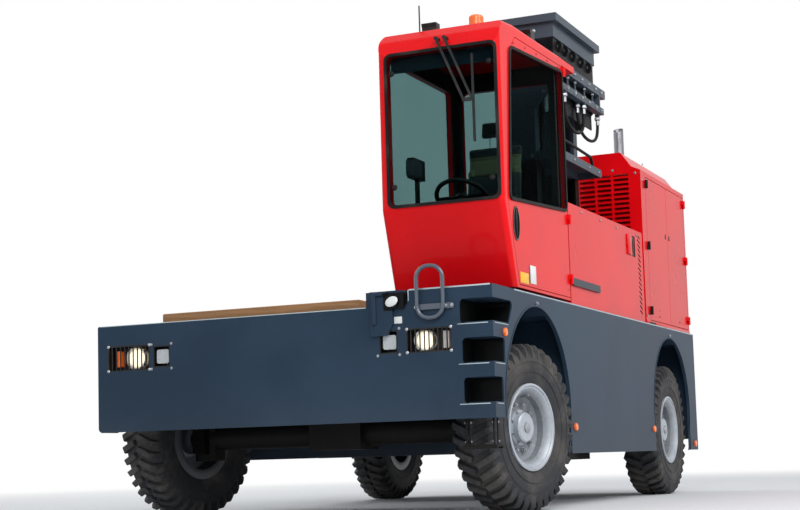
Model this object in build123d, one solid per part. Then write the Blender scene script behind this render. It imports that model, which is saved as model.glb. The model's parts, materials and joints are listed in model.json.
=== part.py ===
from build123d import *
import math
import os

# Side loader forklift, in millimetres.
# +Z is up, the ground is z = 0, the machine drives towards -Y and its cab stands on the +X side.
# The load platforms and the open side of the mast well are on the -X side.

# Fits and clearances
RUNNING_GAP = 0.08
SEAT_GAP = 0.3
MOVING_GAP = 6.0

# Chassis outline
WIDTH = 2950.0
LENGTH = 5362.0
HALF_W = WIDTH / 2
HALF_L = LENGTH / 2
FRONT_Y = -HALF_L
REAR_Y = HALF_L
SKIRT_T = 25.0
END_PLATE_T = 30.0
PLATFORM_TOP = 1356.0
CAB_DECK_TOP = 1455.0
DECK_T = 26.0
BUMPER_BOTTOM = 616.0
LEFT_SKIRT_BOTTOM = 380.0
RIGHT_SKIRT_BOTTOM = 480.0
POD_BOTTOM = 400.0
SPINE_HALF = 760.0
END_BEAM_DEPTH = 180.0

# Mast well across the machine, closed at its cab end
WELL_HALF = 650.0
WELL_END_X = HALF_W - 135.0
POD_DEPTH = 500.0

# Wheels and axles
TYRE_R = 562.0
TYRE_W = 316.0
LUG_H = 26.0
LUG_COUNT = 18
LUG_WIDTH = 90.0
RIM_FLANGE_R = 292.5
RIM_BASE_R = 280.0
RIM_BORE_R = 223.0
DISC_X = 27.0
HUB_R = 100.0
HUB_FACE_X = 98.0
FRONT_AXLE_Y = FRONT_Y + 861.0
REAR_AXLE_Y = REAR_Y - 891.0
WHEEL_X = HALF_W - 180.0
KINGPIN_X = WHEEL_X - 145.0
REST_STEER = -12.0
SPINDLE_R = 60.0
KINGPIN_R = 38.0
BEAM_R = 85.0
YOKE_HALF = 160.0
YOKE_ARM_T = 50.0
SPINE_BOTTOM = TYRE_R + BEAM_R + 13.0

# Wheel arches: the side they are on, centre along Y, centre height and radius
ARCHES = [
    {"side": 1, "y": FRONT_AXLE_Y - 5.0, "z": TYRE_R + 143.0, "r": TYRE_R + 103.0},
    {"side": 1, "y": REAR_AXLE_Y - 5.0, "z": TYRE_R + 183.0, "r": TYRE_R + 58.0},
    {"side": -1, "y": FRONT_AXLE_Y - 5.0, "z": TYRE_R + 78.0, "r": TYRE_R + 88.0},
    {"side": -1, "y": REAR_AXLE_Y - 5.0, "z": TYRE_R + 98.0, "r": TYRE_R + 58.0},
]

# Front corner with its steps: recess floor and top, front edge, rear edge at the floor and at the top
CORNER_X = HALF_W - 275.0
CORNER_Y = FRONT_Y + 431.0
STEP_RECESSES = [
    {"z0": 707.0, "z1": 873.0, "front": 65.0, "floor": 153.0, "top": 153.0},
    {"z0": 959.0, "z1": 1123.0, "front": 62.0, "floor": 200.0, "top": 207.0},
    {"z0": 1213.0, "z1": 1370.0, "front": 52.0, "floor": 285.0, "top": 385.0},
]
STEP_ROUND = 32.0
STEP_EDGE_ROUND = 30.0
TREAD_LIP = 9.0

# Hanging step under the front corner
HANGER_Z = 434.0
HANGER_X0 = CORNER_X + 25.0
HANGER_X1 = HALF_W - 8.0
HANGER_DEPTH = 120.0

# Lamps in the front plate: housing centre and size, lens centre and its radius or half width
LAMP_Z = 1124.0
HEADLAMPS = [
    {"x": -HALF_W + 255.0, "w": 343.0, "h": 177.0, "lens_x": -HALF_W + 298.0, "r": 76.0, "bars": 9},
    {"x": HALF_W - 438.0, "w": 311.0, "h": 158.0, "lens_x": HALF_W - 478.0, "r": 68.0, "bars": 9},
]
SQUARE_LAMPS = [
    {"x": -HALF_W + 521.0, "w": 135.0, "h": 149.0, "lens_x": -HALF_W + 521.0, "r": 48.0, "bars": 0},
    {"x": HALF_W - 719.0, "w": 130.0, "h": 149.0, "lens_x": HALF_W - 719.0, "r": 46.0, "bars": 0},
]
LAMP_DEPTH = 90.0
LAMP_WALL = 8.0
LENS_DEPTH = 45.0
GUARD_BAR = 7.0

# Fittings on the front plate
NOTCH_X = HALF_W - 572.0
BRACKET_X0 = NOTCH_X - 297.0
BRACKET_TOP = 1455.0
GRAB_X0 = HALF_W - 502.0
GRAB_W = 180.0
GRAB_Z0 = 1262.0
GRAB_Z1 = 1594.0
GRAB_ROUND = 80.0
RAIL_R = 13.0
RAIL_PROUD = 40.0

# Tow jaw on the rear plate
TOW_PROUD = 110.0
TOW_BORE_R = 20.0
TOW_Z = 800.0
TOW_GAP = 60.0
TOW_T = 25.0
TOW_HALF = 70.0

# Rear lamps, as their centres from the machine's middle
REAR_LAMP_X = [-1250.0, 1250.0]
REAR_LAMP_Z = 1180.0
REAR_LAMP_W = 220.0
REAR_LAMP_H = 90.0
REAR_LAMP_PROUD = 30.0

# Cab
CAB_X1 = HALF_W - 30.0
CAB_X0 = CAB_X1 - 880.0
CAB_DECK_X = CAB_X0 + 25.0
CAB_WALL = 45.0
CAB_BOTTOM = 1483.0
CAB_BELT_Z = 2040.0
CAB_HEADER_Z = 3104.0
CAB_TOP_Z = 3237.0
ROOF_TOP_Z = 3300.0
CAB_BELT_Y = FRONT_Y + 361.0
CAB_BOTTOM_Y = CAB_BELT_Y + 180.0
CAB_BROW_Y = CAB_BELT_Y + 80.0
CAB_REAR_Y = -WELL_HALF - 310.0
CAB_MOUNT_R = 55.0
DOOR_BOTTOM = CAB_BOTTOM + 25.0
DOOR_TOP_FRONT = 3196.0
DOOR_TOP_REAR = 3216.0
DOOR_REAR_Y = CAB_REAR_Y - MOVING_GAP
DOOR_FRONT_Y = CAB_BELT_Y + 88.0
GLASS_T = 8.0
GLASS_LAP = 16.0
GLASS_ROUND = 45.0
SCREEN_X0 = CAB_X0 + 75.0
SCREEN_X1 = CAB_X1 - 33.0
SCREEN_Z0 = 2070.0
SCREEN_Z1 = 3086.0
PANE_Z1 = 3100.0
LUG_LENGTH = 301.0
BEACON_X = CAB_X1 - 240.0
BEACON_Y = CAB_BELT_Y + 242.0
BEACON_R = 52.0
AERIAL_X = CAB_X0 + 275.0

# Door hinges: pins on the doors, turning in knuckles on the fixed side
HINGE_R = 11.0
HINGE_PIN_R = 6.0
HINGE_H = 36.0
HINGE_X = CAB_X1 + 14.0
CAB_HINGE_Y = CAB_REAR_Y + 5.0
CAB_HINGE_Z = [1640.0, 2080.0, 3180.0]
HOOD_HINGE_Z = [1580.0, 2143.0, 2680.0]
HOOD_HINGE_OUT = 3.0
HINGE_LEAF = 40.0

# Engine hood
HOOD_X1 = CAB_X1
HOOD_X0 = HOOD_X1 - 845.0
HOOD_Y0 = WELL_HALF + 500.0
HOOD_WALL = 40.0
HOOD_EDGE_Z = 2787.0
HOOD_SHOULDER_Z = 2821.0
HOOD_TOP_Z = 2953.0
HOOD_SHOULDER = 77.0
HOOD_CHAMFER = 169.0
HOOD_DOOR_Z0 = 1500.0
HOOD_DOOR_Z1 = 2740.0
HOOD_DOOR_Y0 = HOOD_Y0 + 150.0
HOOD_SEAM_Y = (HOOD_Y0 + REAR_Y) / 2 + 74.5
HOOD_DOOR_Y1 = REAR_Y - 49.0
HOOD_DOORS = {
    "front": {"y0": HOOD_DOOR_Y0, "y1": HOOD_SEAM_Y - 3.0, "hinge": HOOD_DOOR_Y0, "away": -1},
    "rear": {"y0": HOOD_SEAM_Y + 3.0, "y1": HOOD_DOOR_Y1, "hinge": HOOD_DOOR_Y1, "away": 1},
}
LOUVRE_X0 = HOOD_X1 - 545.0
LOUVRE_X1 = HOOD_X1 - 108.0
LOUVRE_Z0 = 2218.0
LOUVRE_Z1 = 2762.0
LOUVRE_ROWS = 13
LOUVRE_COLUMNS = 3
SLAT_T = 14.0
REAR_GRILLE_Z0 = 1750.0
REAR_GRILLE_Z1 = 2500.0
STACK_X = HOOD_X1 - 275.0
STACK_Y = HOOD_Y0 + 350.0
STACK_R = 44.0
STACK_TOP = 3245.0

# Side panel between the cab and the hood
PANEL_X = CAB_X1 - 5.0
PANEL_T = 45.0
PANEL_Y0 = CAB_REAR_Y + 30.0
PANEL_Y1 = HOOD_Y0 - 30.0
PANEL_TOP_FRONT = 2214.0
PANEL_TOP_REAR = 2230.0
SLOT_COUNT = 17
SLOT_PITCH = 40.0
SLOT_Z0 = 1545.0

# Outer mast, standing at the cab end of the well, and the hose frame that it carries behind it
MAST_BACK_X = WELL_END_X - 260.0
FRAME_BACK_X = WELL_END_X - 46.0
FRAME_BEAM_T = 60.0
FRAME_PLATE_T = 10.0
MAST_HALF = 540.0
OUTER_BOTTOM = 330.0
OUTER_TOP = 3390.0
CHANNEL_DEPTH = 210.0
CHANNEL_W = 95.0
CHANNEL_WEB = 24.0
CHANNEL_FLANGE = 30.0
MAST_BEAM_T = 60.0
CYLINDER_X = MAST_BACK_X - 129.0
CYLINDER_Y = 235.0
BARREL_R = 58.0
BARREL_TOP = OUTER_TOP - 240.0
BARREL_FLOOR = OUTER_BOTTOM + 150.0
ROD_R = 38.0

# Rails along the well, and the mast's foot rollers in them
ROLLER_R = 75.0
ROLLER_Z = 540.0
ROLLER_SIDE_GAP = 5.0
RAIL_DEPTH = 75.0
RAIL_FLANGE = 25.0
RAIL_WEB = 14.0

# Inner mast and its crosshead
INNER_DEPTH = 190.0
INNER_X1 = MAST_BACK_X - 164.0
INNER_WEB = MAST_HALF - CHANNEL_W - MOVING_GAP
INNER_MID_X = INNER_X1 - INNER_DEPTH / 2
INNER_BOTTOM = OUTER_BOTTOM + 70.0
CROSSHEAD_Z = OUTER_TOP + 190.0
CROSSHEAD_H = 175.0
INNER_TOP = CROSSHEAD_Z + CROSSHEAD_H
HEAD_BACK_X = FRAME_BACK_X - 38.0
HEAD_FLANGE_H = 60.0
HEAD_FLANGE_OUT = 38.0
HEAD_WALL = 25.0
SHEAVE_R = 80.0
SHEAVE_X = CYLINDER_X
SHEAVE_Y = 200.0
CHAIN_W = 32.0
CHAIN_T = 14.0
CHAIN_GAP = 14.0
SHEAVE_Z = CROSSHEAD_Z + SHEAVE_R + CHAIN_T / 2 + SEAT_GAP
GUIDE_R = 42.0
GUIDE_YS = [-400.0, -240.0, -40.0, 180.0, 380.0]

# Fork carriage and forks, with the blades just under the platforms
CARRIAGE_X1 = INNER_X1 - INNER_DEPTH - 15.0
CARRIAGE_BAR_T = 30.0
CARRIAGE_Z0 = PLATFORM_TOP + 14.0
CARRIAGE_Z1 = PLATFORM_TOP + 594.0
CARRIAGE_HALF = 420.0
CARRIAGE_ROLLER_Z = [PLATFORM_TOP + 244.0, PLATFORM_TOP + 494.0]
FORK_TOP = PLATFORM_TOP - 26.0
FORK_T = 75.0
FORK_W = 190.0
FORK_Y = 300.0
FORK_LENGTH = 1200.0
FORK_TIP_T = 18.0
SHANK_T = 60.0

PLAN_SHIFT_Y = -(TOW_PROUD - RAIL_PROUD) / 2


# Shapes that many pieces share

def block(x0, x1, y0, y1, z0, z1):
    middle = Pos((x0 + x1) / 2, (y0 + y1) / 2, (z0 + z1) / 2)
    return middle * Box(x1 - x0, y1 - y0, z1 - z0)


def rod_x(radius, x0, x1, y, z):
    return Pos((x0 + x1) / 2, y, z) * Rot(0, 90, 0) * Cylinder(radius, abs(x1 - x0))


def rod_y(radius, x, y0, y1, z):
    return Pos(x, (y0 + y1) / 2, z) * Rot(90, 0, 0) * Cylinder(radius, abs(y1 - y0))


def rod_z(radius, x, y, z0, z1):
    return Pos(x, y, (z0 + z1) / 2) * Cylinder(radius, abs(z1 - z0))


def outline_face(points, rounding=None):
    """A face from 3-D points; rounding gives a fillet radius to the corners of the given indexes."""
    face = make_face(Polyline(*points, close=True))
    if rounding:
        for index, radius in rounding.items():
            corner = Vector(*points[index])
            nearest = min(face.vertices(), key=lambda v: (Vector(v.X, v.Y, v.Z) - corner).length)
            face = fillet(nearest, radius)
    return face


def slab_x(points, x0, x1, rounding=None):
    """A profile of (y, z) points, extruded from x0 to x1."""
    face = outline_face([(x0, y, z) for y, z in points], rounding)
    return extrude(face, amount=x1 - x0, dir=(1, 0, 0))


def slab_y(points, y0, y1, rounding=None):
    """A profile of (x, z) points, extruded from y0 to y1."""
    face = outline_face([(x, y0, z) for x, z in points], rounding)
    return extrude(face, amount=y1 - y0, dir=(0, 1, 0))


def slab_z(points, z0, z1, rounding=None):
    """A plan outline of (x, y) points, extruded from z0 to z1."""
    face = outline_face([(x, y, z0) for x, y in points], rounding)
    return extrude(face, amount=z1 - z0, dir=(0, 0, 1))


def pane_points(y0, y1, z0, z1):
    return [(y0, z0), (y1, z0), (y1, z1), (y0, z1)]


def span(side, near, far):
    """The two X or Y bounds of a piece that is mirrored by side, in rising order."""
    return sorted((side * near, side * far))


def arch_cut(arch, x0, x1):
    """The round-topped space of one wheel arch, down past the skirt's lower edge."""
    crown = rod_x(arch["r"], x0, x1, arch["y"], arch["z"])
    below = block(x0, x1, arch["y"] - arch["r"], arch["y"] + arch["r"], 0, arch["z"])
    return crown + below


# Chassis

def lamp_pocket(lamp):
    return block(lamp["x"] - lamp["w"] / 2, lamp["x"] + lamp["w"] / 2, FRONT_Y - 1, FRONT_Y + LAMP_DEPTH,
                 LAMP_Z - lamp["h"] / 2, LAMP_Z + lamp["h"] / 2)


def chassis_frame():
    """The welded frame: a spine, end beams and pods, with the well and the wheel spaces left open."""
    inner_x = HALF_W - SKIRT_T
    front_y = FRONT_Y + END_PLATE_T
    rear_y = REAR_Y - END_PLATE_T
    under_deck = PLATFORM_TOP - DECK_T
    pods = [
        {"y0": front_y, "y1": -WELL_HALF, "end0": front_y, "end1": front_y + END_BEAM_DEPTH,
         "low": SPINE_BOTTOM},
        {"y0": WELL_HALF, "y1": rear_y, "end0": rear_y - END_BEAM_DEPTH, "end1": rear_y,
         "low": RIGHT_SKIRT_BOTTOM},
    ]
    frame = block(WELL_END_X, inner_x, -WELL_HALF - 1, WELL_HALF + 1, POD_BOTTOM, CAB_DECK_TOP)
    for pod in pods:
        middle = (pod["y0"] + pod["y1"]) / 2
        well_side = -WELL_HALF if middle < 0 else WELL_HALF
        inboard = sorted((well_side, well_side + math.copysign(POD_DEPTH, middle)))
        frame += block(-SPINE_HALF, SPINE_HALF, pod["y0"], pod["y1"], SPINE_BOTTOM, under_deck)
        frame += block(-inner_x, inner_x, pod["end0"], pod["end1"], pod["low"], under_deck)
        frame += block(-inner_x, inner_x, inboard[0], inboard[1], POD_BOTTOM, under_deck)
        frame += block(-inner_x, -SPINE_HALF, pod["y0"], pod["y1"], under_deck - 30, under_deck)
        frame += block(SPINE_HALF, inner_x, pod["y0"], pod["y1"], CAB_DECK_TOP - 70, CAB_DECK_TOP)
        frame += block(CAB_DECK_X, inner_x, pod["y0"], pod["y1"], under_deck, CAB_DECK_TOP)
    for arch in ARCHES:
        x0, x1 = span(arch["side"], SPINE_HALF, inner_x + 1)
        frame -= arch_cut(arch, x0, x1)
    frame -= block(CORNER_X, HALF_W, FRONT_Y, CORNER_Y, 0, CAB_DECK_TOP + 1)
    for lamp in HEADLAMPS + SQUARE_LAMPS:
        frame -= lamp_pocket(lamp)
    for x in (CAB_X0 + 120, CAB_X1 - 120):
        for y in (CAB_BOTTOM_Y + 160, CAB_REAR_Y - 160):
            frame += rod_z(CAB_MOUNT_R, x, y, CAB_DECK_TOP, CAB_BOTTOM)
    return frame


def mast_rails():
    """The two channels along the well's walls that carry the mast's foot rollers."""
    inner_half = ROLLER_R + SEAT_GAP
    shapes = []
    for side in (-1, 1):
        y0, y1 = span(side, WELL_HALF - RAIL_DEPTH, WELL_HALF)
        rail = block(-HALF_W, WELL_END_X, y0, y1, ROLLER_Z - inner_half - RAIL_FLANGE,
                     ROLLER_Z + inner_half + RAIL_FLANGE)
        y0, y1 = span(side, WELL_HALF - RAIL_DEPTH - 1, WELL_HALF - RAIL_WEB)
        rail -= block(-HALF_W - 1, WELL_END_X + 1, y0, y1, ROLLER_Z - inner_half, ROLLER_Z + inner_half)
        shapes.append(rail)
    return Compound(children=shapes)


def front_plate():
    outline = [(-HALF_W, BUMPER_BOTTOM), (CORNER_X, BUMPER_BOTTOM), (CORNER_X, CAB_DECK_TOP),
               (NOTCH_X, CAB_DECK_TOP), (NOTCH_X - 12, PLATFORM_TOP), (-HALF_W, PLATFORM_TOP)]
    plate = slab_y(outline, FRONT_Y, FRONT_Y + END_PLATE_T, {0: 30, 3: 55, 5: 12})
    for lamp in HEADLAMPS + SQUARE_LAMPS:
        plate -= lamp_pocket(lamp)
    return plate


def step_notch(step):
    """One step recess: open at the front and the side, with rounded corners and a lip on its floor."""
    front_x = CORNER_X + step["front"]
    side = [(FRONT_Y - 60, step["z0"]), (FRONT_Y + step["floor"], step["z0"]),
            (FRONT_Y + step["top"], step["z1"]), (FRONT_Y - 60, step["z1"])]
    front = [(front_x, step["z0"]), (HALF_W + 50, step["z0"]), (HALF_W + 50, step["z1"]), (front_x, step["z1"])]
    seen_from_side = slab_x(side, CORNER_X, HALF_W + 60, {1: STEP_ROUND, 2: STEP_ROUND})
    seen_from_front = slab_y(front, FRONT_Y - 50, CORNER_Y, {0: STEP_EDGE_ROUND, 3: STEP_EDGE_ROUND})
    notch = seen_from_side & seen_from_front
    lip_x = block(front_x + STEP_ROUND, HALF_W - 12, FRONT_Y, FRONT_Y + 12, step["z0"], step["z0"] + TREAD_LIP)
    lip_y = block(HALF_W - 12, HALF_W, FRONT_Y, FRONT_Y + step["floor"] - STEP_ROUND, step["z0"],
                  step["z0"] + TREAD_LIP)
    return notch - lip_x - lip_y


def corner_steps():
    corner = block(CORNER_X, HALF_W, FRONT_Y, CORNER_Y, BUMPER_BOTTOM, CAB_DECK_TOP)
    for step in STEP_RECESSES:
        corner -= step_notch(step)
    return corner - arch_cut(ARCHES[0], CORNER_X - 1, HALF_W + 1)


def side_skirts():
    inner_x = HALF_W - SKIRT_T
    top = PLATFORM_TOP - DECK_T
    left = block(inner_x, HALF_W, CORNER_Y, REAR_Y, LEFT_SKIRT_BOTTOM, CAB_DECK_TOP)
    front = block(-HALF_W, -inner_x, FRONT_Y + END_PLATE_T, -WELL_HALF, RIGHT_SKIRT_BOTTOM, top)
    rear = block(-HALF_W, -inner_x, WELL_HALF, REAR_Y - END_PLATE_T, RIGHT_SKIRT_BOTTOM, top)
    front -= block(-HALF_W - 1, -inner_x + 1, FRONT_Y, ARCHES[2]["y"], 0, BUMPER_BOTTOM)
    skirts = [left, front, rear]
    for index, owner in enumerate((0, 0, 1, 2)):
        arch = ARCHES[index]
        x0, x1 = span(arch["side"], inner_x - 1, HALF_W + 1)
        skirts[owner] -= arch_cut(arch, x0, x1)
    return Compound(children=[solid for skirt in skirts for solid in skirt.solids()])


def rear_plate():
    side_x = HALF_W - SKIRT_T
    outline = [(-HALF_W, RIGHT_SKIRT_BOTTOM), (side_x, RIGHT_SKIRT_BOTTOM), (side_x, CAB_DECK_TOP),
               (CAB_DECK_X, CAB_DECK_TOP), (CAB_DECK_X, PLATFORM_TOP), (-HALF_W, PLATFORM_TOP)]
    plate = slab_y(outline, REAR_Y - END_PLATE_T, REAR_Y, {0: 30, 5: 12})
    tip_y = REAR_Y + TOW_PROUD - TOW_HALF
    for z in (TOW_Z - TOW_GAP / 2 - TOW_T, TOW_Z + TOW_GAP / 2):
        cheek = block(-TOW_HALF, TOW_HALF, REAR_Y, tip_y, z, z + TOW_T)
        plate += cheek + rod_z(TOW_HALF, 0, tip_y, z, z + TOW_T)
    plate -= rod_z(TOW_BORE_R, 0, tip_y + 20, TOW_Z - 200, TOW_Z + 200)
    for x in REAR_LAMP_X:
        plate -= block(x - REAR_LAMP_W / 2, x + REAR_LAMP_W / 2, REAR_Y - 12, REAR_Y + 1,
                       REAR_LAMP_Z - REAR_LAMP_H / 2, REAR_LAMP_Z + REAR_LAMP_H / 2)
    return plate


def load_decks():
    """The two load platforms: plates with a raised kerb along the front and rear plates."""
    z0 = PLATFORM_TOP - DECK_T
    shapes = []
    for y0, y1 in ((FRONT_Y + END_PLATE_T, -WELL_HALF), (WELL_HALF, REAR_Y - END_PLATE_T)):
        deck = block(-HALF_W, CAB_DECK_X, y0, y1, z0, PLATFORM_TOP)
        shapes.append(fillet(deck.edges().filter_by(Axis.Z).group_by(Axis.X)[0], 15))
    return Compound(children=shapes)


def deck_timbers():
    shapes = []
    for side in (-1, 1):
        y0, y1 = span(side, HALF_L - 281.0, HALF_L - 161.0)
        timber = block(-HALF_W + 434, CAB_DECK_X - 110, y0, y1, PLATFORM_TOP, PLATFORM_TOP + 76)
        shapes.append(chamfer(timber.edges().group_by(Axis.Z)[-1], 6))
    return Compound(children=shapes)


# Front fittings

def headlamp_housings():
    shapes = []
    for lamp in HEADLAMPS + SQUARE_LAMPS:
        x0 = lamp["x"] - lamp["w"] / 2
        x1 = lamp["x"] + lamp["w"] / 2
        z0 = LAMP_Z - lamp["h"] / 2
        z1 = LAMP_Z + lamp["h"] / 2
        housing = block(x0, x1, FRONT_Y, FRONT_Y + LAMP_DEPTH, z0, z1)
        housing -= block(x0 + LAMP_WALL, x1 - LAMP_WALL, FRONT_Y - 1, FRONT_Y + LAMP_DEPTH - LAMP_WALL,
                         z0 + LAMP_WALL, z1 - LAMP_WALL)
        for index in range(lamp["bars"]):
            x = x0 + (index + 1) * lamp["w"] / (lamp["bars"] + 1)
            housing += block(x - GUARD_BAR / 2, x + GUARD_BAR / 2, FRONT_Y, FRONT_Y + GUARD_BAR,
                             z0 + LAMP_WALL, z1 - LAMP_WALL)
        shapes.append(housing)
    return Compound(children=shapes)


def lamp_lenses():
    """Headlamp and indicator lenses and the square lamps, each on its housing's back wall."""
    back = FRONT_Y + LAMP_DEPTH - LAMP_WALL
    shapes = []
    for lamp in HEADLAMPS:
        lens = rod_y(lamp["r"], lamp["lens_x"], back - LENS_DEPTH, back, LAMP_Z)
        shapes.append(fillet(lens.edges().group_by(Axis.Y)[0], 14))
    for lamp in SQUARE_LAMPS:
        half = lamp["r"]
        lens = block(lamp["lens_x"] - half, lamp["lens_x"] + half, back - LENS_DEPTH - 20, back,
                     LAMP_Z - half, LAMP_Z + half)
        shapes.append(fillet(lens.edges().filter_by(Axis.Y), 14))
    return Compound(children=shapes)


def indicator_lenses():
    back = FRONT_Y + LAMP_DEPTH - LAMP_WALL
    shapes = []
    for lamp, away in zip(HEADLAMPS, (-1, 1)):
        x = lamp["lens_x"] + away * (lamp["r"] + 72)
        lens = block(x - 24, x + 24, back - LENS_DEPTH, back, LAMP_Z - 55, LAMP_Z + 55)
        shapes.append(fillet(lens.edges().filter_by(Axis.Y), 10))
    return shapes


def hanging_step():
    """A serrated tread that hangs on two pairs of straps under the corner."""
    y0 = FRONT_Y + 25.0
    y1 = y0 + HANGER_DEPTH
    tread = block(HANGER_X0, HANGER_X1, y0, y1, HANGER_Z - 9, HANGER_Z + 9)
    tread -= block(HANGER_X0 - 1, HANGER_X1 + 1, y0 + 20, y1 - 20, HANGER_Z - 10, HANGER_Z + 3)
    teeth = 9
    pitch = (HANGER_X1 - HANGER_X0) / teeth
    for index in range(teeth):
        x = HANGER_X0 + (index + 0.5) * pitch
        tread += block(x - 6, x + 6, y0, y1, HANGER_Z + 9, HANGER_Z + 17)
    for x in (HANGER_X0 + 28, HANGER_X1 - 28):
        for offset in (-13, 13):
            tread += block(x + offset - 4, x + offset + 4, y0 + 50, y1 - 50, HANGER_Z, BUMPER_BOTTOM)
    return tread


def grab_rail():
    """An oval hoop of tube on a bolted bar, standing off the front plate."""
    y = FRONT_Y - RAIL_PROUD + RAIL_R
    middle = Plane(origin=(GRAB_X0 + GRAB_W / 2, y, (GRAB_Z0 + GRAB_Z1) / 2), x_dir=(1, 0, 0), z_dir=(0, -1, 0))
    path = middle * RectangleRounded(GRAB_W, GRAB_Z1 - GRAB_Z0, GRAB_ROUND).wire()
    tube = sweep(Plane(origin=path @ 0, z_dir=path % 0) * Circle(RAIL_R), path=path)
    bar = block(GRAB_X0 - 20, GRAB_X0 + GRAB_W + 60, FRONT_Y - 14, FRONT_Y, 1316, 1352)
    for x in (GRAB_X0, GRAB_X0 + GRAB_W):
        bar += block(x - 14, x + 14, y, FRONT_Y, 1318, 1350)
    return bar + tube


def mirror_bracket():
    """The dark bracket left of the raised front edge, with a bent pipe, a round disc and a small plate."""
    x0 = BRACKET_X0
    x1 = NOTCH_X - 15
    web = block(x0, x1, FRONT_Y + 4, FRONT_Y + END_PLATE_T, PLATFORM_TOP, BRACKET_TOP)
    web = fillet(web.edges().filter_by(Axis.Y).group_by(Axis.Z)[-1], 30)
    foot = slab_y([(x0 + 30, 1165), (x0 + 150, 1165), (x0 + 190, 1240), (x0 + 190, PLATFORM_TOP + 60),
                   (x0 + 30, PLATFORM_TOP + 60)], FRONT_Y - 18, FRONT_Y + 4, {0: 20, 1: 20})
    foot -= block(x0, x1, FRONT_Y, FRONT_Y + 5, 1100, PLATFORM_TOP)
    arm = block(x0 + 135, x1 - 10, FRONT_Y - 22, FRONT_Y + 4, PLATFORM_TOP - 20, BRACKET_TOP - 25)
    arm -= block(x0, x1, FRONT_Y, FRONT_Y + 5, 1100, PLATFORM_TOP)
    disc = Pos(x0 + 193, FRONT_Y - 26, 1381) * Rot(90, 0, 0) * Cylinder(46, 16)
    pipe = rod_z(16, x0 + 62, FRONT_Y - 20, 1240, BRACKET_TOP - 20)
    pipe += rod_x(16, x0 + 62, x0 + 150, FRONT_Y - 20, BRACKET_TOP - 20)
    return web + foot + arm + disc + pipe


def rear_lenses():
    shapes = []
    for x in REAR_LAMP_X:
        lamp = block(x - REAR_LAMP_W / 2, x + REAR_LAMP_W / 2, REAR_Y - 12, REAR_Y + REAR_LAMP_PROUD,
                     REAR_LAMP_Z - REAR_LAMP_H / 2, REAR_LAMP_Z + REAR_LAMP_H / 2)
        shapes.append(chamfer(lamp.edges().group_by(Axis.Y)[-1], 8))
    return shapes


def signal_lamps():
    """Side markers along the left skirt, the indicators, the rear lamps and the beacon on the cab roof."""
    markers = [{"y": FRONT_Y + 203.0, "z": 1160.0}, {"y": FRONT_AXLE_Y + 751.0, "z": 566.0},
               {"y": REAR_AXLE_Y - 682.0, "z": 563.0}, {"y": REAR_Y - 121.0, "z": 436.0}]
    shapes = []
    for marker in markers:
        lamp = rod_x(28, HALF_W, HALF_W + 16, marker["y"], marker["z"])
        shapes.append(fillet(lamp.edges().group_by(Axis.X)[-1], 8))
    base = roof_height(BEACON_Y + BEACON_R)
    beacon = rod_z(BEACON_R, BEACON_X, BEACON_Y, base, base + 78)
    shapes.append(fillet(beacon.edges().group_by(Axis.Z)[-1], 20))
    return Compound(children=shapes + indicator_lenses() + rear_lenses())


# Cab

ROOF_LINE = [(CAB_BROW_Y, CAB_TOP_Z), (CAB_BROW_Y + 30, 3266.0), (CAB_BELT_Y + 330, 3286.0),
             (CAB_REAR_Y + 20, ROOF_TOP_Z)]


def roof_height(y):
    """Height of the roof's upper face at y, between the points of its line."""
    for (y0, z0), (y1, z1) in zip(ROOF_LINE, ROOF_LINE[1:]):
        if y <= y1:
            return z0 + (z1 - z0) * (y - y0) / (y1 - y0)
    return ROOF_TOP_Z


def cab_outline(inset):
    """The cab's side profile: raked below the belt, upright at the glass, leaning back above it."""
    return [(CAB_BOTTOM_Y + inset, CAB_BOTTOM + inset), (CAB_BELT_Y + inset, CAB_BELT_Z),
            (CAB_BELT_Y + inset, CAB_HEADER_Z), (CAB_BELT_Y + 42 + inset, 3200), (CAB_BROW_Y + inset, CAB_TOP_Z),
            (CAB_REAR_Y - inset, CAB_TOP_Z), (CAB_REAR_Y - inset, CAB_BOTTOM + inset)]


def door_outline(grow):
    """The door's side outline, grown outward by grow, in (y, z)."""
    rake = (CAB_BOTTOM_Y - CAB_BELT_Y) * (CAB_BELT_Z - DOOR_BOTTOM) / (CAB_BELT_Z - CAB_BOTTOM)
    return [(DOOR_FRONT_Y + rake - grow, DOOR_BOTTOM - grow), (DOOR_FRONT_Y - grow, CAB_BELT_Z),
            (DOOR_FRONT_Y + 99 - grow, 3060), (DOOR_FRONT_Y + 240, DOOR_TOP_FRONT + grow),
            (DOOR_REAR_Y + grow, DOOR_TOP_REAR + grow), (DOOR_REAR_Y + grow, DOOR_BOTTOM - grow)]


DOOR_ROUNDING = {2: 150, 3: 60}


def door_slab(grow, x0, x1):
    return slab_x(door_outline(grow), x0, x1, DOOR_ROUNDING)


def hinge_knuckle(y, z):
    """The fixed lower half of a hinge, before it is bored for the pin."""
    return rod_z(HINGE_R, HINGE_X, y, z - HINGE_H, z - SEAT_GAP)


def hinge_bore(y, z):
    return rod_z(HINGE_PIN_R + RUNNING_GAP, HINGE_X, y, z - HINGE_H - 1, z)


def hinge_pin(y, z):
    """A door's half of one hinge: its barrel, and the pin below it."""
    return rod_z(HINGE_R, HINGE_X, y, z, z + HINGE_H) + rod_z(HINGE_PIN_R, HINGE_X, y, z - HINGE_H, z + HINGE_H)


def screen_points(lap):
    return [(SCREEN_X0 - lap, SCREEN_Z0 - lap), (SCREEN_X1 + lap, SCREEN_Z0 - lap),
            (SCREEN_X1 + lap, SCREEN_Z1 + lap), (SCREEN_X0 - lap, SCREEN_Z1 + lap)]


def inner_pane_points(lap):
    return pane_points(CAB_BELT_Y + 120 - lap, CAB_REAR_Y - 100 + lap, 2080 - lap, PANE_Z1 + lap)


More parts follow.
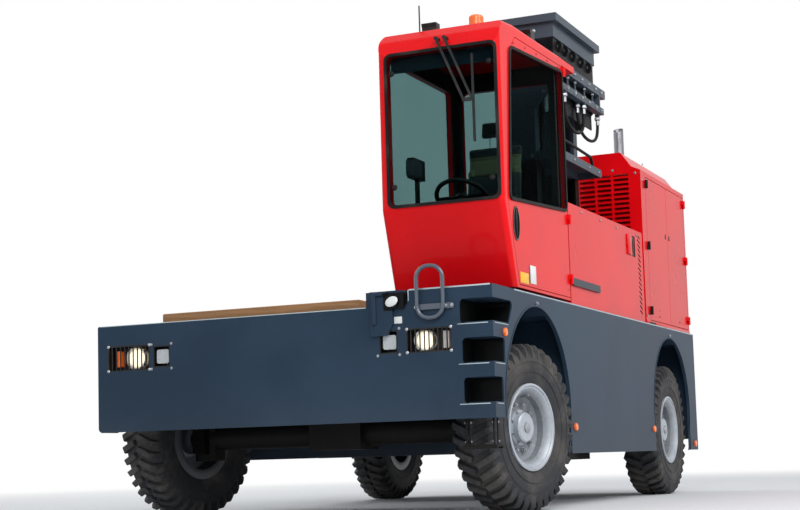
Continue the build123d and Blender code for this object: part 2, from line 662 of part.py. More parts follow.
def rear_pane_points(lap):
    return [(CAB_X0 + 95 - lap, 2200 - lap), (CAB_X1 - 95 + lap, 2200 - lap),
            (CAB_X1 - 95 + lap, PANE_Z1 + lap), (CAB_X0 + 95 - lap, PANE_Z1 + lap)]


def rounded(radius):
    return {0: radius, 1: radius, 2: radius, 3: radius}


def cab_frame():
    w = CAB_WALL
    body = slab_x(cab_outline(0), CAB_X0, CAB_X1, {1: 60, 3: 60})
    front_edges = body.edges().filter_by(lambda e: abs(e.center().Y - CAB_BELT_Y) < 1 and e.length > 500
                                         and abs(e.tangent_at(0.5).Z) > 0.9)
    body = fillet(front_edges, 38)
    body -= slab_x(cab_outline(w), CAB_X0 + w, CAB_X1 - w - MOVING_GAP)
    body -= door_slab(MOVING_GAP, CAB_X1 - w - MOVING_GAP, CAB_X1 + 1)
    body -= door_slab(-w, CAB_X1 - 2 * w - MOVING_GAP, CAB_X1 + 1)
    body -= slab_y(screen_points(0), CAB_BELT_Y - 1, CAB_BELT_Y + w + 1, rounded(GLASS_ROUND))
    body -= slab_x(inner_pane_points(0), CAB_X0 - 1, CAB_X0 + w + 1, rounded(GLASS_ROUND))
    body -= slab_y(rear_pane_points(0), CAB_REAR_Y - w - 1, CAB_REAR_Y + 1, rounded(GLASS_ROUND))
    for z in CAB_HINGE_Z:
        body += block(CAB_X1 - 85, HINGE_X, CAB_REAR_Y, CAB_HINGE_Y + 6, z - HINGE_H, z - SEAT_GAP)
        body += hinge_knuckle(CAB_HINGE_Y, z)
        body -= hinge_bore(CAB_HINGE_Y, z)
    return body


def cab_roof():
    """The roof skin, with the gutter that runs back past the cab's rear wall on the door side."""
    outline = ROOF_LINE + [(CAB_REAR_Y + 20, CAB_TOP_Z)]
    roof = slab_x(outline, CAB_X0 + 5, CAB_X1 - 5)
    side_edges = roof.edges().filter_by(lambda e: e.center().Z > 3250 and abs(e.tangent_at(0.5).Y) > 0.9)
    roof = fillet(side_edges, 24)
    gutter = block(CAB_X1 - 60, CAB_X1 - 5, CAB_REAR_Y - 40, CAB_REAR_Y + 20 + LUG_LENGTH, CAB_TOP_Z, 3285)
    return roof + gutter


def cab_glass():
    front = slab_y(screen_points(GLASS_LAP), CAB_BELT_Y - GLASS_T, CAB_BELT_Y, rounded(GLASS_ROUND))
    inner = slab_x(inner_pane_points(GLASS_LAP), CAB_X0 - GLASS_T, CAB_X0, rounded(GLASS_ROUND))
    rear = slab_y(rear_pane_points(GLASS_LAP), CAB_REAR_Y, CAB_REAR_Y + GLASS_T, rounded(GLASS_ROUND))
    return Compound(children=[front, inner, rear])


SEAT_X = CAB_X0 + 435.0
SEAT_Y = CAB_REAR_Y - 540.0
SEAT_Z = 1900.0


def seat():
    """The driver's seat: cushion, raked back and headrest, on its base."""
    cushion = block(SEAT_X - 240, SEAT_X + 240, SEAT_Y - 250, SEAT_Y + 250, SEAT_Z + SEAT_GAP, SEAT_Z + 120)
    cushion = fillet(cushion.edges().group_by(Axis.Z)[-1], 40)
    back = slab_x([(SEAT_Y + 150, SEAT_Z + 90), (SEAT_Y + 240, SEAT_Z + 90), (SEAT_Y + 330, SEAT_Z + 740),
                   (SEAT_Y + 270, SEAT_Z + 750)], SEAT_X - 230, SEAT_X + 230)
    stalk = block(SEAT_X - 40, SEAT_X + 40, SEAT_Y + 285, SEAT_Y + 315, SEAT_Z + 700, SEAT_Z + 800)
    rest = block(SEAT_X - 130, SEAT_X + 130, SEAT_Y + 265, SEAT_Y + 330, SEAT_Z + 780, SEAT_Z + 930)
    return cushion + back + stalk + fillet(rest.edges().filter_by(Axis.Y), 40)


def steering_column(dash_y, floor_z):
    """The dash block with its raked column and steering wheel."""
    dash = slab_x([(CAB_BOTTOM_Y + CAB_WALL + 3, floor_z), (dash_y, floor_z), (dash_y, 1950), (dash_y - 130, 2040),
                   (CAB_BELT_Y + CAB_WALL + 52, 2040)], CAB_X0 + 75, CAB_X1 - 105)
    lean = Rot(-35, 0, 0)
    column = Pos(SEAT_X, dash_y + 21, 2032) * lean * Cylinder(35, 300)
    centre = Pos(SEAT_X, dash_y + 100, 2145) * lean
    wheel = centre * Torus(180, 16)
    return dash + column + wheel + centre * Box(350, 40, 14) + centre * Cylinder(45, 30)


def cab_controls():
    floor_z = CAB_BOTTOM + CAB_WALL
    dash_y = CAB_BOTTOM_Y + 120
    base = block(SEAT_X - 180, SEAT_X + 180, SEAT_Y - 200, SEAT_Y + 200, floor_z, SEAT_Z)
    console = block(CAB_X0 + 55, CAB_X0 + 175, dash_y + 20, SEAT_Y + 250, floor_z, 2060)
    stalk = block(CAB_X0 + 100, CAB_X0 + 125, dash_y + 60, dash_y + 90, 2060, 2300)
    display = block(CAB_X0 + 85, CAB_X0 + 135, dash_y - 30, dash_y + 170, 2300, 2440)
    armrest = block(SEAT_X + 255, SEAT_X + 330, SEAT_Y - 200, SEAT_Y + 200, floor_z, 2040)
    lever = rod_z(9, SEAT_X + 290, SEAT_Y - 150, 2040, 2150) + Pos(SEAT_X + 290, SEAT_Y - 150, 2160) * Sphere(22)
    return Compound(children=[base, console + stalk + display, armrest + lever, steering_column(dash_y, floor_z)])


def work_lamp(x, y, width, depth, height):
    """A box lamp with a cut-back hood, standing on the roof."""
    z = roof_height(y + depth / 2)
    profile = [(y - depth / 2, z), (y + depth / 2, z), (y + depth / 2, z + height),
               (y - depth / 2 - 12, z + height), (y - depth / 2, z + height / 2)]
    return slab_x(profile, x - width / 2, x + width / 2)


def wiper(x):
    """One parallel arm of the wiper, from its spindle on the header to the blade's carrier."""
    top = Vector(x, CAB_BELT_Y - 22, CAB_HEADER_Z + 62)
    foot = Vector(x + 185, CAB_BELT_Y - 22, CAB_HEADER_Z - 378)
    run = foot - top
    angle = math.degrees(math.atan2(run.X, run.Z))
    middle = (top + foot) * 0.5
    arm = Pos(middle.X, middle.Y, middle.Z) * Rot(0, angle, 0) * Box(16, 10, run.length)
    return arm + rod_y(14, top.X, CAB_BELT_Y - 27, CAB_BELT_Y + 34, top.Z)


def wiper_blade():
    x = SCREEN_X1 - 147
    blade = block(x - 8, x + 8, CAB_BELT_Y - 24, CAB_BELT_Y - GLASS_T - 6, 2440, 3030)
    rubber = block(x - 2, x + 2, CAB_BELT_Y - GLASS_T - 6, CAB_BELT_Y - GLASS_T, 2440, 3030)
    bar = block(x - 78, x + 8, CAB_BELT_Y - 27, CAB_BELT_Y - 17, CAB_HEADER_Z - 390, CAB_HEADER_Z - 366)
    return blade + rubber + bar


def roof_fittings():
    """Work lamps, aerial and the parallel wiper."""
    front_lamp = work_lamp(CAB_X0 + 318, CAB_BROW_Y + 135, 109, 60, 60)
    rear_lamp = work_lamp(CAB_X1 - 95, CAB_BROW_Y + 700, 150, 80, 62)
    aerial = rod_z(5, AERIAL_X, CAB_BROW_Y + 38, roof_height(CAB_BROW_Y + 43), ROOF_TOP_Z + 150)
    wipers = wiper(SCREEN_X1 - 400) + wiper(SCREEN_X1 - 340) + wiper_blade()
    wipers -= slab_x(cab_outline(0), CAB_X0, CAB_X1, {1: 60, 3: 60})
    return Compound(children=[front_lamp, rear_lamp, aerial, wipers])


def door_glass_points(lap):
    front = DOOR_FRONT_Y + 35 - lap
    rear = DOOR_REAR_Y - 29 + lap
    return [(front, 2072 - lap), (front + 99, 3106 + lap * 0.4), (rear, 3178 + lap * 0.4), (rear, 2150 - lap)]


def cab_door():
    """The door panel with its window, the oval grip recess and the moving hinge halves."""
    door = door_slab(0, CAB_X1 - CAB_WALL, CAB_X1)
    door -= slab_x(door_glass_points(0), CAB_X1 - CAB_WALL - 1, CAB_X1 + 1, rounded(GLASS_ROUND))
    grip = Plane.YZ.offset(CAB_X1 - 28) * Pos(DOOR_FRONT_Y + 142, 1910) * Ellipse(62, 115)
    door -= extrude(grip, amount=30)
    door += rod_z(9, CAB_X1 - 12, DOOR_FRONT_Y + 150, 1790, 2030)
    for z in CAB_HINGE_Z:
        door += block(CAB_X1 - 10, HINGE_X - 3, DOOR_REAR_Y - 11, CAB_HINGE_Y, z, z + HINGE_H)
        door += hinge_pin(CAB_HINGE_Y, z)
    return door


def door_glass():
    return slab_x(door_glass_points(GLASS_LAP), CAB_X1, CAB_X1 + GLASS_T, rounded(GLASS_ROUND + 10))


# Side panel and hood

def side_panel():
    """The red wall beside the mast, with a rubbing bar, a latch pocket and a column of vent slots."""
    outline = [(PANEL_Y0, CAB_DECK_TOP), (PANEL_Y1, CAB_DECK_TOP), (PANEL_Y1, PANEL_TOP_REAR),
               (PANEL_Y0, PANEL_TOP_FRONT)]
    panel = slab_x(outline, PANEL_X - PANEL_T, PANEL_X)
    for index in range(SLOT_COUNT):
        z = SLOT_Z0 + index * SLOT_PITCH
        slot = Pos(PANEL_X, PANEL_Y1 - 110, z) * Rot(-20, 0, 0) * Box(2 * PANEL_T + 4, 84, 15)
        panel -= slot
    panel -= block(PANEL_X - 22, PANEL_X + 1, PANEL_Y1 - 330, PANEL_Y1 - 230, 1998, 2172)
    bar = slab_x([(PANEL_Y0 + 25, 1602), (PANEL_Y0 + 706, 1602), (PANEL_Y0 + 706, 1656), (PANEL_Y0 + 25, 1656)],
                 PANEL_X, PANEL_X + 16, rounded(12))
    return panel + bar


def hood_section(inset):
    """The hood's cross section in (x, z), with its chamfered roof."""
    low = CAB_DECK_TOP - (1 if inset else 0)
    half = inset / 2
    return [(HOOD_X0 + inset, low), (HOOD_X0 + inset, HOOD_EDGE_Z - inset),
            (HOOD_X0 + HOOD_CHAMFER + half, HOOD_TOP_Z - inset), (HOOD_X1 - HOOD_CHAMFER - half, HOOD_TOP_Z - inset),
            (HOOD_X1 - HOOD_SHOULDER - half, HOOD_SHOULDER_Z - inset), (HOOD_X1 - inset, HOOD_EDGE_Z - inset),
            (HOOD_X1 - inset, low)]


def louvre_bank(x0, x1, z0, z1, rows, y0, y1, lean):
    """Tilted slats that fill an opening between two faces of a wall."""
    pitch = (z1 - z0) / rows
    bank = None
    for index in range(rows):
        z = z0 + (index + 0.5) * pitch
        slat = slab_x([(y0, z - lean - SLAT_T / 2), (y1, z + lean - SLAT_T / 2), (y1, z + lean + SLAT_T / 2),
                       (y0, z - lean + SLAT_T / 2)], x0, x1)
        bank = slat if bank is None else bank + slat
    return bank


def hood_shell():
    shell = slab_y(hood_section(0), HOOD_Y0, REAR_Y, {2: 25, 3: 25})
    shell -= slab_y(hood_section(HOOD_WALL), HOOD_Y0 + HOOD_WALL, REAR_Y - HOOD_WALL)
    for door in HOOD_DOORS.values():
        shell -= block(HOOD_X1 - HOOD_WALL - 1, HOOD_X1 + 1, door["y0"] - MOVING_GAP, door["y1"] + MOVING_GAP,
                       HOOD_DOOR_Z0 - MOVING_GAP, HOOD_DOOR_Z1 + MOVING_GAP)
    shell -= block(LOUVRE_X0, LOUVRE_X1, HOOD_Y0 - 1, HOOD_Y0 + HOOD_WALL + 1, LOUVRE_Z0, LOUVRE_Z1)
    shell += louvre_bank(LOUVRE_X0 - 1, LOUVRE_X1 + 1, LOUVRE_Z0, LOUVRE_Z1, LOUVRE_ROWS, HOOD_Y0, HOOD_Y0 + HOOD_WALL, 9)
    for index in range(1, LOUVRE_COLUMNS):
        x = LOUVRE_X0 + index * (LOUVRE_X1 - LOUVRE_X0) / LOUVRE_COLUMNS
        shell += block(x - 10, x + 10, HOOD_Y0, HOOD_Y0 + HOOD_WALL, LOUVRE_Z0 - 1, LOUVRE_Z1 + 1)
    x0 = HOOD_X0 + 90
    x1 = HOOD_X1 - 90
    shell -= block(x0, x1, REAR_Y - HOOD_WALL - 1, REAR_Y + 1, REAR_GRILLE_Z0, REAR_GRILLE_Z1)
    shell += louvre_bank(x0 - 1, x1 + 1, REAR_GRILLE_Z0, REAR_GRILLE_Z1, 14, REAR_Y - HOOD_WALL, REAR_Y, -9)
    for door in HOOD_DOORS.values():
        y = door["hinge"] + door["away"] * HOOD_HINGE_OUT
        y0, y1 = sorted((y, door["hinge"] + door["away"] * HINGE_LEAF))
        for z in HOOD_HINGE_Z:
            shell += block(HOOD_X1 - 5, HINGE_X - 3, y0, y1, z - HINGE_H, z - SEAT_GAP)
            shell -= block(HOOD_X1 - 6, HOOD_X1 + 2, y - 4, y + 4, z - HINGE_H - 1, z)
            shell += hinge_knuckle(y, z)
            shell -= hinge_bore(y, z)
    return shell


def hood_door(name):
    door = HOOD_DOORS[name]
    leaf = block(HOOD_X1 - HOOD_WALL, HOOD_X1, door["y0"], door["y1"], HOOD_DOOR_Z0, HOOD_DOOR_Z1)
    free_edge = door["y0"] + door["y1"] - door["hinge"]
    lock_y = free_edge + door["away"] * 60
    leaf -= block(HOOD_X1 - 15, HOOD_X1 + 1, lock_y - 22, lock_y + 22, 2270, 2315)
    y = door["hinge"] + door["away"] * HOOD_HINGE_OUT
    y0, y1 = sorted((y, door["hinge"] - door["away"] * HINGE_LEAF))
    for z in HOOD_HINGE_Z:
        leaf += block(HOOD_X1, HINGE_X - 3, y0, y1, z, z + HINGE_H) + hinge_pin(y, z)
    return leaf


def engine_block():
    return block(HOOD_X0 + 180, HOOD_X1 - 205, HOOD_DOOR_Y0 + 80, HOOD_DOOR_Y1 - 150, CAB_DECK_TOP, 2250)


def exhaust_stack():
    pipe = rod_z(STACK_R, STACK_X, STACK_Y, HOOD_TOP_Z, STACK_TOP)
    pipe += rod_z(STACK_R + 26, STACK_X, STACK_Y, HOOD_TOP_Z, HOOD_TOP_Z + 14)
    pipe -= rod_z(STACK_R - 5, STACK_X, STACK_Y, HOOD_TOP_Z + 20, STACK_TOP + 40)
    slant = Pos(STACK_X, STACK_Y, STACK_TOP + 30) * Rot(30, 0, 0) * Box(200, 200, 90)
    return pipe - slant


# Axles and wheels

def front_axle():
    """A beam with a centre pivot block, and a yoke at each end that holds a kingpin."""
    z = TYRE_R
    y = FRONT_AXLE_Y
    beam = rod_x(BEAM_R, -KINGPIN_X + 95, KINGPIN_X - 95, y, z)
    beam += block(-200, 200, y - 150, y + 150, z - 110, SPINE_BOTTOM)
    for side in (-1, 1):
        x0, x1 = span(side, KINGPIN_X - 140, KINGPIN_X - 90)
        beam += block(x0, x1, y - 70, y + 70, z - YOKE_HALF, z + YOKE_HALF)
        x0, x1 = span(side, KINGPIN_X - 110, KINGPIN_X)
        for low in (z - YOKE_HALF, z + YOKE_HALF - YOKE_ARM_T):
            beam += block(x0, x1, y - 60, y + 60, low, low + YOKE_ARM_T)
            beam += rod_z(60, side * KINGPIN_X, y, low, low + YOKE_ARM_T)
        beam -= rod_z(KINGPIN_R + RUNNING_GAP, side * KINGPIN_X, y, z - 200, z + 200)
    return beam


def rear_axle():
    """The drive axle: a housing with its differential, spring pads and the two wheel spindles."""
    z = TYRE_R
    y = REAR_AXLE_Y
    beam = rod_x(BEAM_R, -WHEEL_X + 195, WHEEL_X - 195, y, z)
    beam += rod_x(SPINDLE_R, -WHEEL_X - 65, WHEEL_X + 65, y, z)
    beam += rod_y(175, 0, y - 150, y + 150, z) + rod_y(90, 0, y - 260, y - 149, z)
    for side in (-1, 1):
        x0, x1 = span(side, 410, 590)
        beam += block(x0, x1, y - 100, y + 100, z, SPINE_BOTTOM)
    return beam - block(-SPINE_HALF, SPINE_HALF, y - 300, y + 300, SPINE_BOTTOM, SPINE_BOTTOM + 300)


def knuckle(side):
    """A steering knuckle with its kingpin, wheel spindle and steering arm, straight ahead."""
    z = TYRE_R
    x = side * KINGPIN_X
    body = block(x - 55, x + 55, FRONT_AXLE_Y - 55, FRONT_AXLE_Y + 55, z - 105, z + 105)
    body += rod_z(KINGPIN_R, x, FRONT_AXLE_Y, z - YOKE_HALF - 5, z + YOKE_HALF + 5)
    x0, x1 = span(side, KINGPIN_X, WHEEL_X + 65)
    body += rod_x(SPINDLE_R, x0, x1, FRONT_AXLE_Y, z)
    x0, x1 = span(side, KINGPIN_X - 30, KINGPIN_X + 20)
    return body + block(x0, x1, FRONT_AXLE_Y + 50, FRONT_AXLE_Y + 190, z - 60, z - 20)


def ring_points(radius, x):
    """Corners of a many-sided ring about X whose flats just clear the given radius."""
    corner_r = radius / math.cos(math.pi / LUG_COUNT)
    step = 2 * math.pi / LUG_COUNT
    return [(x, corner_r * math.cos(i * step), corner_r * math.sin(i * step)) for i in range(LUG_COUNT)]


def faceted_ring(profile):
    """A ring about X with one flat for each tread block, from its section as (x, r) points."""
    rings = [ring_points(r, x) for x, r in profile]
    flats = []
    for near, far in zip(rings, rings[1:] + rings[:1]):
        for i in range(LUG_COUNT):
            after = (i + 1) % LUG_COUNT
            outline = Polyline(near[i], near[after], far[after], far[i], close=True)
            flats.append(make_face(outline).face())
    return Solid(Shell(flats))


def tyre_lug(side):
    """One tread block: it crosses half the tread and runs down over the shoulder."""
    half = TYRE_W / 2
    root = TYRE_R - LUG_H - 10
    profile = [(side * 8, TYRE_R - 2), (side * (half - 28), TYRE_R - 2), (side * half, TYRE_R - 40),
               (side * (half - 4), TYRE_R - 100), (side * (half - 50), root), (side * 8, root)]
    face = outline_face([(x, -LUG_WIDTH / 2, r) for x, r in profile])
    return extrude(face, amount=LUG_WIDTH, dir=(0, 1, 0))


def tyre_section():
    """One tyre about X: a faceted carcass with a tread block of each shoulder on every flat."""
    half = TYRE_W / 2
    bead = half - 30
    crown = TYRE_R - LUG_H - 4
    outside = [(bead, RIM_BASE_R + SEAT_GAP), (bead, RIM_BASE_R + 14), (half - 7, 410), (half - 40, crown)]
    carcass = faceted_ring([(-x, r) for x, r in outside] + outside[::-1])
    lugs = []
    for index in range(LUG_COUNT):
        turn = 360 / LUG_COUNT * (index + 0.5) - 90
        lugs += [Rot(turn, 0, 0) * tyre_lug(side) for side in (1, -1)]
    return carcass.fuse(*lugs)


def rim_section(side):
    """One rim with its flanges, deep disc and hub, opening outward to the given side."""
    half = TYRE_W / 2
    bead = half - 30
    outline = [(RIM_BORE_R, -half + 22), (RIM_FLANGE_R, -half + 22), (RIM_FLANGE_R, -bead - SEAT_GAP),
               (RIM_BASE_R, -bead - SEAT_GAP), (RIM_BASE_R, bead + SEAT_GAP), (RIM_FLANGE_R, bead + SEAT_GAP),
               (RIM_FLANGE_R, half - 16), (RIM_FLANGE_R - 14, half - 14), (RIM_FLANGE_R - 22, half - 24),
               (RIM_FLANGE_R - 30, half - 24), (RIM_BORE_R + 3, half - 62), (RIM_BORE_R, half - 66),
               (RIM_BORE_R, DISC_X + 20), (RIM_BORE_R - 29, DISC_X), (HUB_R + 26, DISC_X), (HUB_R + 20, DISC_X + 22),
               (HUB_R, DISC_X + 22), (HUB_R, HUB_FACE_X - 8), (HUB_R - 10, HUB_FACE_X), (0, HUB_FACE_X),
               (0, 66), (SPINDLE_R + RUNNING_GAP, 66), (SPINDLE_R + RUNNING_GAP, -70), (HUB_R + 5, -70),
               (HUB_R + 5, DISC_X - 18), (RIM_BORE_R, DISC_X - 18)]
    profile = make_face(Polyline(*[(x, r, 0) for r, x in outline], close=True))
    rim = revolve(profile, Axis.X, 360)
    return rim if side > 0 else Rot(0, 0, 180) * rim


def steered(shape, side):
    """Turn a front wheel part about its kingpin into the rest position."""
    pivot = Pos(side * KINGPIN_X, FRONT_AXLE_Y, 0)
    return pivot * Rot(0, 0, REST_STEER) * pivot.inverse() * shape


def wheel_place(side, y):
    return Pos(side * WHEEL_X, y, TYRE_R)


# Mast

def channel(y_web, side, x0, x1, z0, z1):
    """A mast upright: a C section with its web at y_web, open towards the mast's middle."""
    y0, y1 = span(side, y_web - CHANNEL_W, y_web)
    upright = block(x0, x1, y0, y1, z0, z1)
    y0, y1 = span(side, y_web - CHANNEL_W - 1, y_web - CHANNEL_WEB)
    return upright - block(x0 + CHANNEL_FLANGE, x1 - CHANNEL_FLANGE, y0, y1, z0 - 1, z1 + 1)


# Cross beams of the outer mast's uprights
OUTER_BEAMS = [
    {"z0": OUTER_BOTTOM, "z1": OUTER_BOTTOM + 140},
    {"z0": 1200.0, "z1": 1300.0},
    {"z0": OUTER_TOP - 755, "z1": OUTER_TOP - 691},
    {"z0": OUTER_TOP - 68, "z1": OUTER_TOP},
]
# The hose frame's two long beams, and the ledge below them
FRAME_BEAMS = [
    {"z0": OUTER_TOP - 210, "z1": OUTER_TOP - 159, "y1": MAST_HALF + 100},
    {"z0": OUTER_TOP - 68, "z1": OUTER_TOP, "y1": MAST_HALF + 150},
]
LEDGE_X1 = FRAME_BACK_X - 14.0
LEDGE_TOP = OUTER_BEAMS[2]["z1"]
BACK_PLATE_Z0 = FRAME_BEAMS[0]["z0"] - 140.0
BACK_PLATE_IN = 28.0
GUARD_Z0 = OUTER_TOP + 12.0

# Hoses hung under the lower frame beam: how far each stands in from the beams' back, and its route as
# (y, height below the fittings)
HOSE_R = 13.0
FITTING_R = 20.0
FITTING_H = 45.0
FITTING_Z = FRAME_BEAMS[0]["z0"] - FITTING_H
HOSE_ROUTES = [
    {"in": 22.0, "route": [(-370, 0), (-370, 115), (-290, 210), (-120, 240), (50, 210), (130, 115), (130, 0)]},
    {"in": 54.0, "route": [(60, 0), (60, 100), (150, 190), (340, 220), (530, 190), (620, 100), (620, 0)]},
]
RISER_R = 9.0
RISER_YS = [-430.0, -250.0, -60.0, 190.0, 410.0]

HANDRAIL_R = 12.0
HANDRAIL_ROUTE = [(-490, 0), (-490, 95), (294, 70), (340, 0)]


def hose_x(row):
    return FRAME_BACK_X - row["in"]


def tube_along(points, radius, bends):
    """A round bar along straight runs joined by arcs, one bend radius for each inner point."""
    path = FilletPolyline(*points, radius=bends)
    return sweep(Plane(origin=path @ 0, z_dir=path % 0) * Circle(radius), path=path)


def hose_frame():
    """The frame behind the uprights: gusset arms, two long beams, a back plate, hose fittings and risers."""
    front = FRAME_BACK_X - FRAME_BEAM_T
    frame = Part()
    for beam in FRAME_BEAMS:
        frame += block(front, FRAME_BACK_X, -MAST_HALF, beam["y1"], beam["z0"], beam["z1"])
    arm = [(MAST_BACK_X - 30, OUTER_TOP), (FRAME_BACK_X, OUTER_TOP), (FRAME_BACK_X, FRAME_BEAMS[0]["z0"]),
           (front, FRAME_BEAMS[0]["z0"]), (MAST_BACK_X - 30, FRAME_BEAMS[0]["z0"] - 180)]
    for side in (-1, 1):
        y0, y1 = span(side, MAST_HALF - CHANNEL_WEB, MAST_HALF)
        frame += slab_y(arm, y0, y1)
    frame += block(front - BACK_PLATE_IN, front - BACK_PLATE_IN + FRAME_PLATE_T, -MAST_HALF + 10, MAST_HALF - 10,
                   BACK_PLATE_Z0, OUTER_TOP - 10)
    for row in HOSE_ROUTES:
        for y in (row["route"][0][0], row["route"][-1][0]):
            frame += rod_z(FITTING_R, hose_x(row), y, FITTING_Z, FRAME_BEAMS[0]["z0"] + 5)
    for y in RISER_YS:
        frame += rod_z(RISER_R, front + FRAME_BEAM_T / 2, y, FRAME_BEAMS[0]["z1"] - 5, FRAME_BEAMS[1]["z0"] + 5)
    return frame


def ledge():
    """The folded ledge across the mast's back below the hoses, with its handrail."""
    shelf = block(MAST_BACK_X - 30, LEDGE_X1, -MAST_HALF, MAST_HALF, LEDGE_TOP - FRAME_PLATE_T, LEDGE_TOP)
    shelf += block(LEDGE_X1 - FRAME_PLATE_T, LEDGE_X1, -MAST_HALF, MAST_HALF, OUTER_BEAMS[2]["z0"], LEDGE_TOP)
    for side in (-1, 1):
        y0, y1 = span(side, MAST_HALF - FRAME_PLATE_T, MAST_HALF)
        shelf += block(MAST_BACK_X - 30, LEDGE_X1, y0, y1, OUTER_BEAMS[2]["z0"], LEDGE_TOP)
    x = LEDGE_X1 - HANDRAIL_R - 2
    rail = [(x, y, LEDGE_TOP + up - (5 if up == 0 else 0)) for y, up in HANDRAIL_ROUTE]
    return shelf + tube_along(rail, HANDRAIL_R, [45, 30])


def mast_outer():
    """Two channels tied by beams, with the barrels, the hose frame, the ledge and the foot rollers."""
    x1 = MAST_BACK_X
    x0 = x1 - CHANNEL_DEPTH
    mast = channel(MAST_HALF, 1, x0, x1, OUTER_BOTTOM, OUTER_TOP)
    mast += channel(MAST_HALF, -1, x0, x1, OUTER_BOTTOM, OUTER_TOP)
    for beam in OUTER_BEAMS:
        mast += block(x1 - MAST_BEAM_T, x1, -MAST_HALF, MAST_HALF, beam["z0"], beam["z1"])
    mast += hose_frame() + ledge()
    for side in (-1, 1):
        mast -= block(x1 - MAST_BEAM_T - 1, SHEAVE_X + SHEAVE_R + CHAIN_T / 2 + MOVING_GAP, *chain_slot(side),
                      OUTER_BEAMS[3]["z0"] - 1, OUTER_TOP + 1)
    for side in (-1, 1):
        y = side * CYLINDER_Y
        barrel = rod_z(BARREL_R, CYLINDER_X, y, OUTER_BOTTOM, BARREL_TOP)
        barrel += rod_z(BARREL_R + 8, CYLINDER_X, y, BARREL_TOP - 60, BARREL_TOP)
        for z in (OUTER_BOTTOM, OUTER_BEAMS[2]["z0"]):
            barrel += block(CYLINDER_X, x1 - 30, y - 50, y + 50, z, z + 60)
        barrel -= rod_z(ROD_R + RUNNING_GAP, CYLINDER_X, y, BARREL_FLOOR, BARREL_TOP + 1)
        mast += barrel
        for x in (x0 + 6, x1 - 44):
            y0, y1 = span(side, MAST_HALF - 10, WELL_HALF - RAIL_WEB - ROLLER_SIDE_GAP)
            mast += rod_y(30, x, y0, y1, ROLLER_Z)
            y0, y1 = span(side, WELL_HALF - RAIL_DEPTH + ROLLER_SIDE_GAP, WELL_HALF - RAIL_WEB - ROLLER_SIDE_GAP)
            mast += rod_y(ROLLER_R, x, y0, y1, ROLLER_Z)
    return mast


def chain_slot(side):
    """The Y bounds of the notch that a lift chain runs down through."""
    return span(side, SHEAVE_Y - CHAIN_W / 2 - CHAIN_GAP, SHEAVE_Y + CHAIN_W / 2 + CHAIN_GAP)


def lift_chain(side):
    """A sheave in the crosshead, and the two runs of the chain that goes over it."""
    y0, y1 = span(side, SHEAVE_Y - CHAIN_W / 2, SHEAVE_Y + CHAIN_W / 2)
    chain = rod_y(SHEAVE_R + CHAIN_T / 2, SHEAVE_X, y0 - 5, y1 + 5, SHEAVE_Z)
    chain += rod_y(22, SHEAVE_X, y0 - 26, y1 + 26, SHEAVE_Z)
    for x, low in ((SHEAVE_X - SHEAVE_R, CARRIAGE_Z1 - 60), (SHEAVE_X + SHEAVE_R, LEDGE_TOP + MOVING_GAP)):
        chain += block(x - CHAIN_T / 2, x + CHAIN_T / 2, y0, y1, low, SHEAVE_Z)
    for y in (y0 - 26, y1 + 14):
        chain += block(SHEAVE_X - 25, SHEAVE_X + 25, y, y + 12, CROSSHEAD_Z + HEAD_WALL - 5, SHEAVE_Z + 25)
    return chain


def crosshead():
    """The deep box on top of the lifting stage, open above, with a flange round its rim and a chain guard."""
    x0 = INNER_X1 - INNER_DEPTH
    x1 = HEAD_BACK_X
    out = HEAD_FLANGE_OUT
    head = block(x0, x1, -MAST_HALF, MAST_HALF, CROSSHEAD_Z, INNER_TOP)
    head += block(x0 - out, x1 + out, -MAST_HALF - out, MAST_HALF + out, INNER_TOP - HEAD_FLANGE_H, INNER_TOP)
    wall = HEAD_WALL
    head -= block(x0 + wall, x1 - wall, -MAST_HALF + wall, MAST_HALF - wall, CROSSHEAD_Z + wall, INNER_TOP + 1)
    head -= block(x0 - out + wall, x1 + out - wall, -MAST_HALF - out + wall, MAST_HALF + out - wall,
                  INNER_TOP - HEAD_FLANGE_H + wall, INNER_TOP + 1)
    guard_x = HEAD_BACK_X - 20
    head += block(guard_x, guard_x + FRAME_PLATE_T, -MAST_HALF + 20, MAST_HALF - 20, GUARD_Z0, CROSSHEAD_Z + 5)
    for y in GUIDE_YS:
        head += rod_y(GUIDE_R, guard_x + FRAME_PLATE_T / 2, y - 18, y + 18, CROSSHEAD_Z - GUIDE_R - 8)
    return head


def mast_inner():
    """The lifting stage: two channels under the crosshead, with the chains that run over its sheaves."""
    x1 = INNER_X1
    x0 = x1 - INNER_DEPTH
    mast = channel(INNER_WEB, 1, x0, x1, INNER_BOTTOM, CROSSHEAD_Z)
    mast += channel(INNER_WEB, -1, x0, x1, INNER_BOTTOM, CROSSHEAD_Z)
    mast += crosshead()
    tie_x0 = INNER_MID_X + 30 + MOVING_GAP
    tie_x1 = CYLINDER_X - BARREL_R - MOVING_GAP
    mast += block(tie_x0, tie_x1, -INNER_WEB, INNER_WEB, INNER_BOTTOM, INNER_BOTTOM + 25)
    mast += block(tie_x0, tie_x1, -FORK_Y + 12, FORK_Y - 12, INNER_BOTTOM, INNER_BOTTOM + 90)
    for side in (-1, 1):
        mast += lift_chain(side)
    return mast


def lift_rods():
    shapes = []
    for side in (-1, 1):
        shapes.append(rod_z(ROD_R, CYLINDER_X, side * CYLINDER_Y, BARREL_FLOOR + 20, CROSSHEAD_Z))
    return Compound(children=shapes)


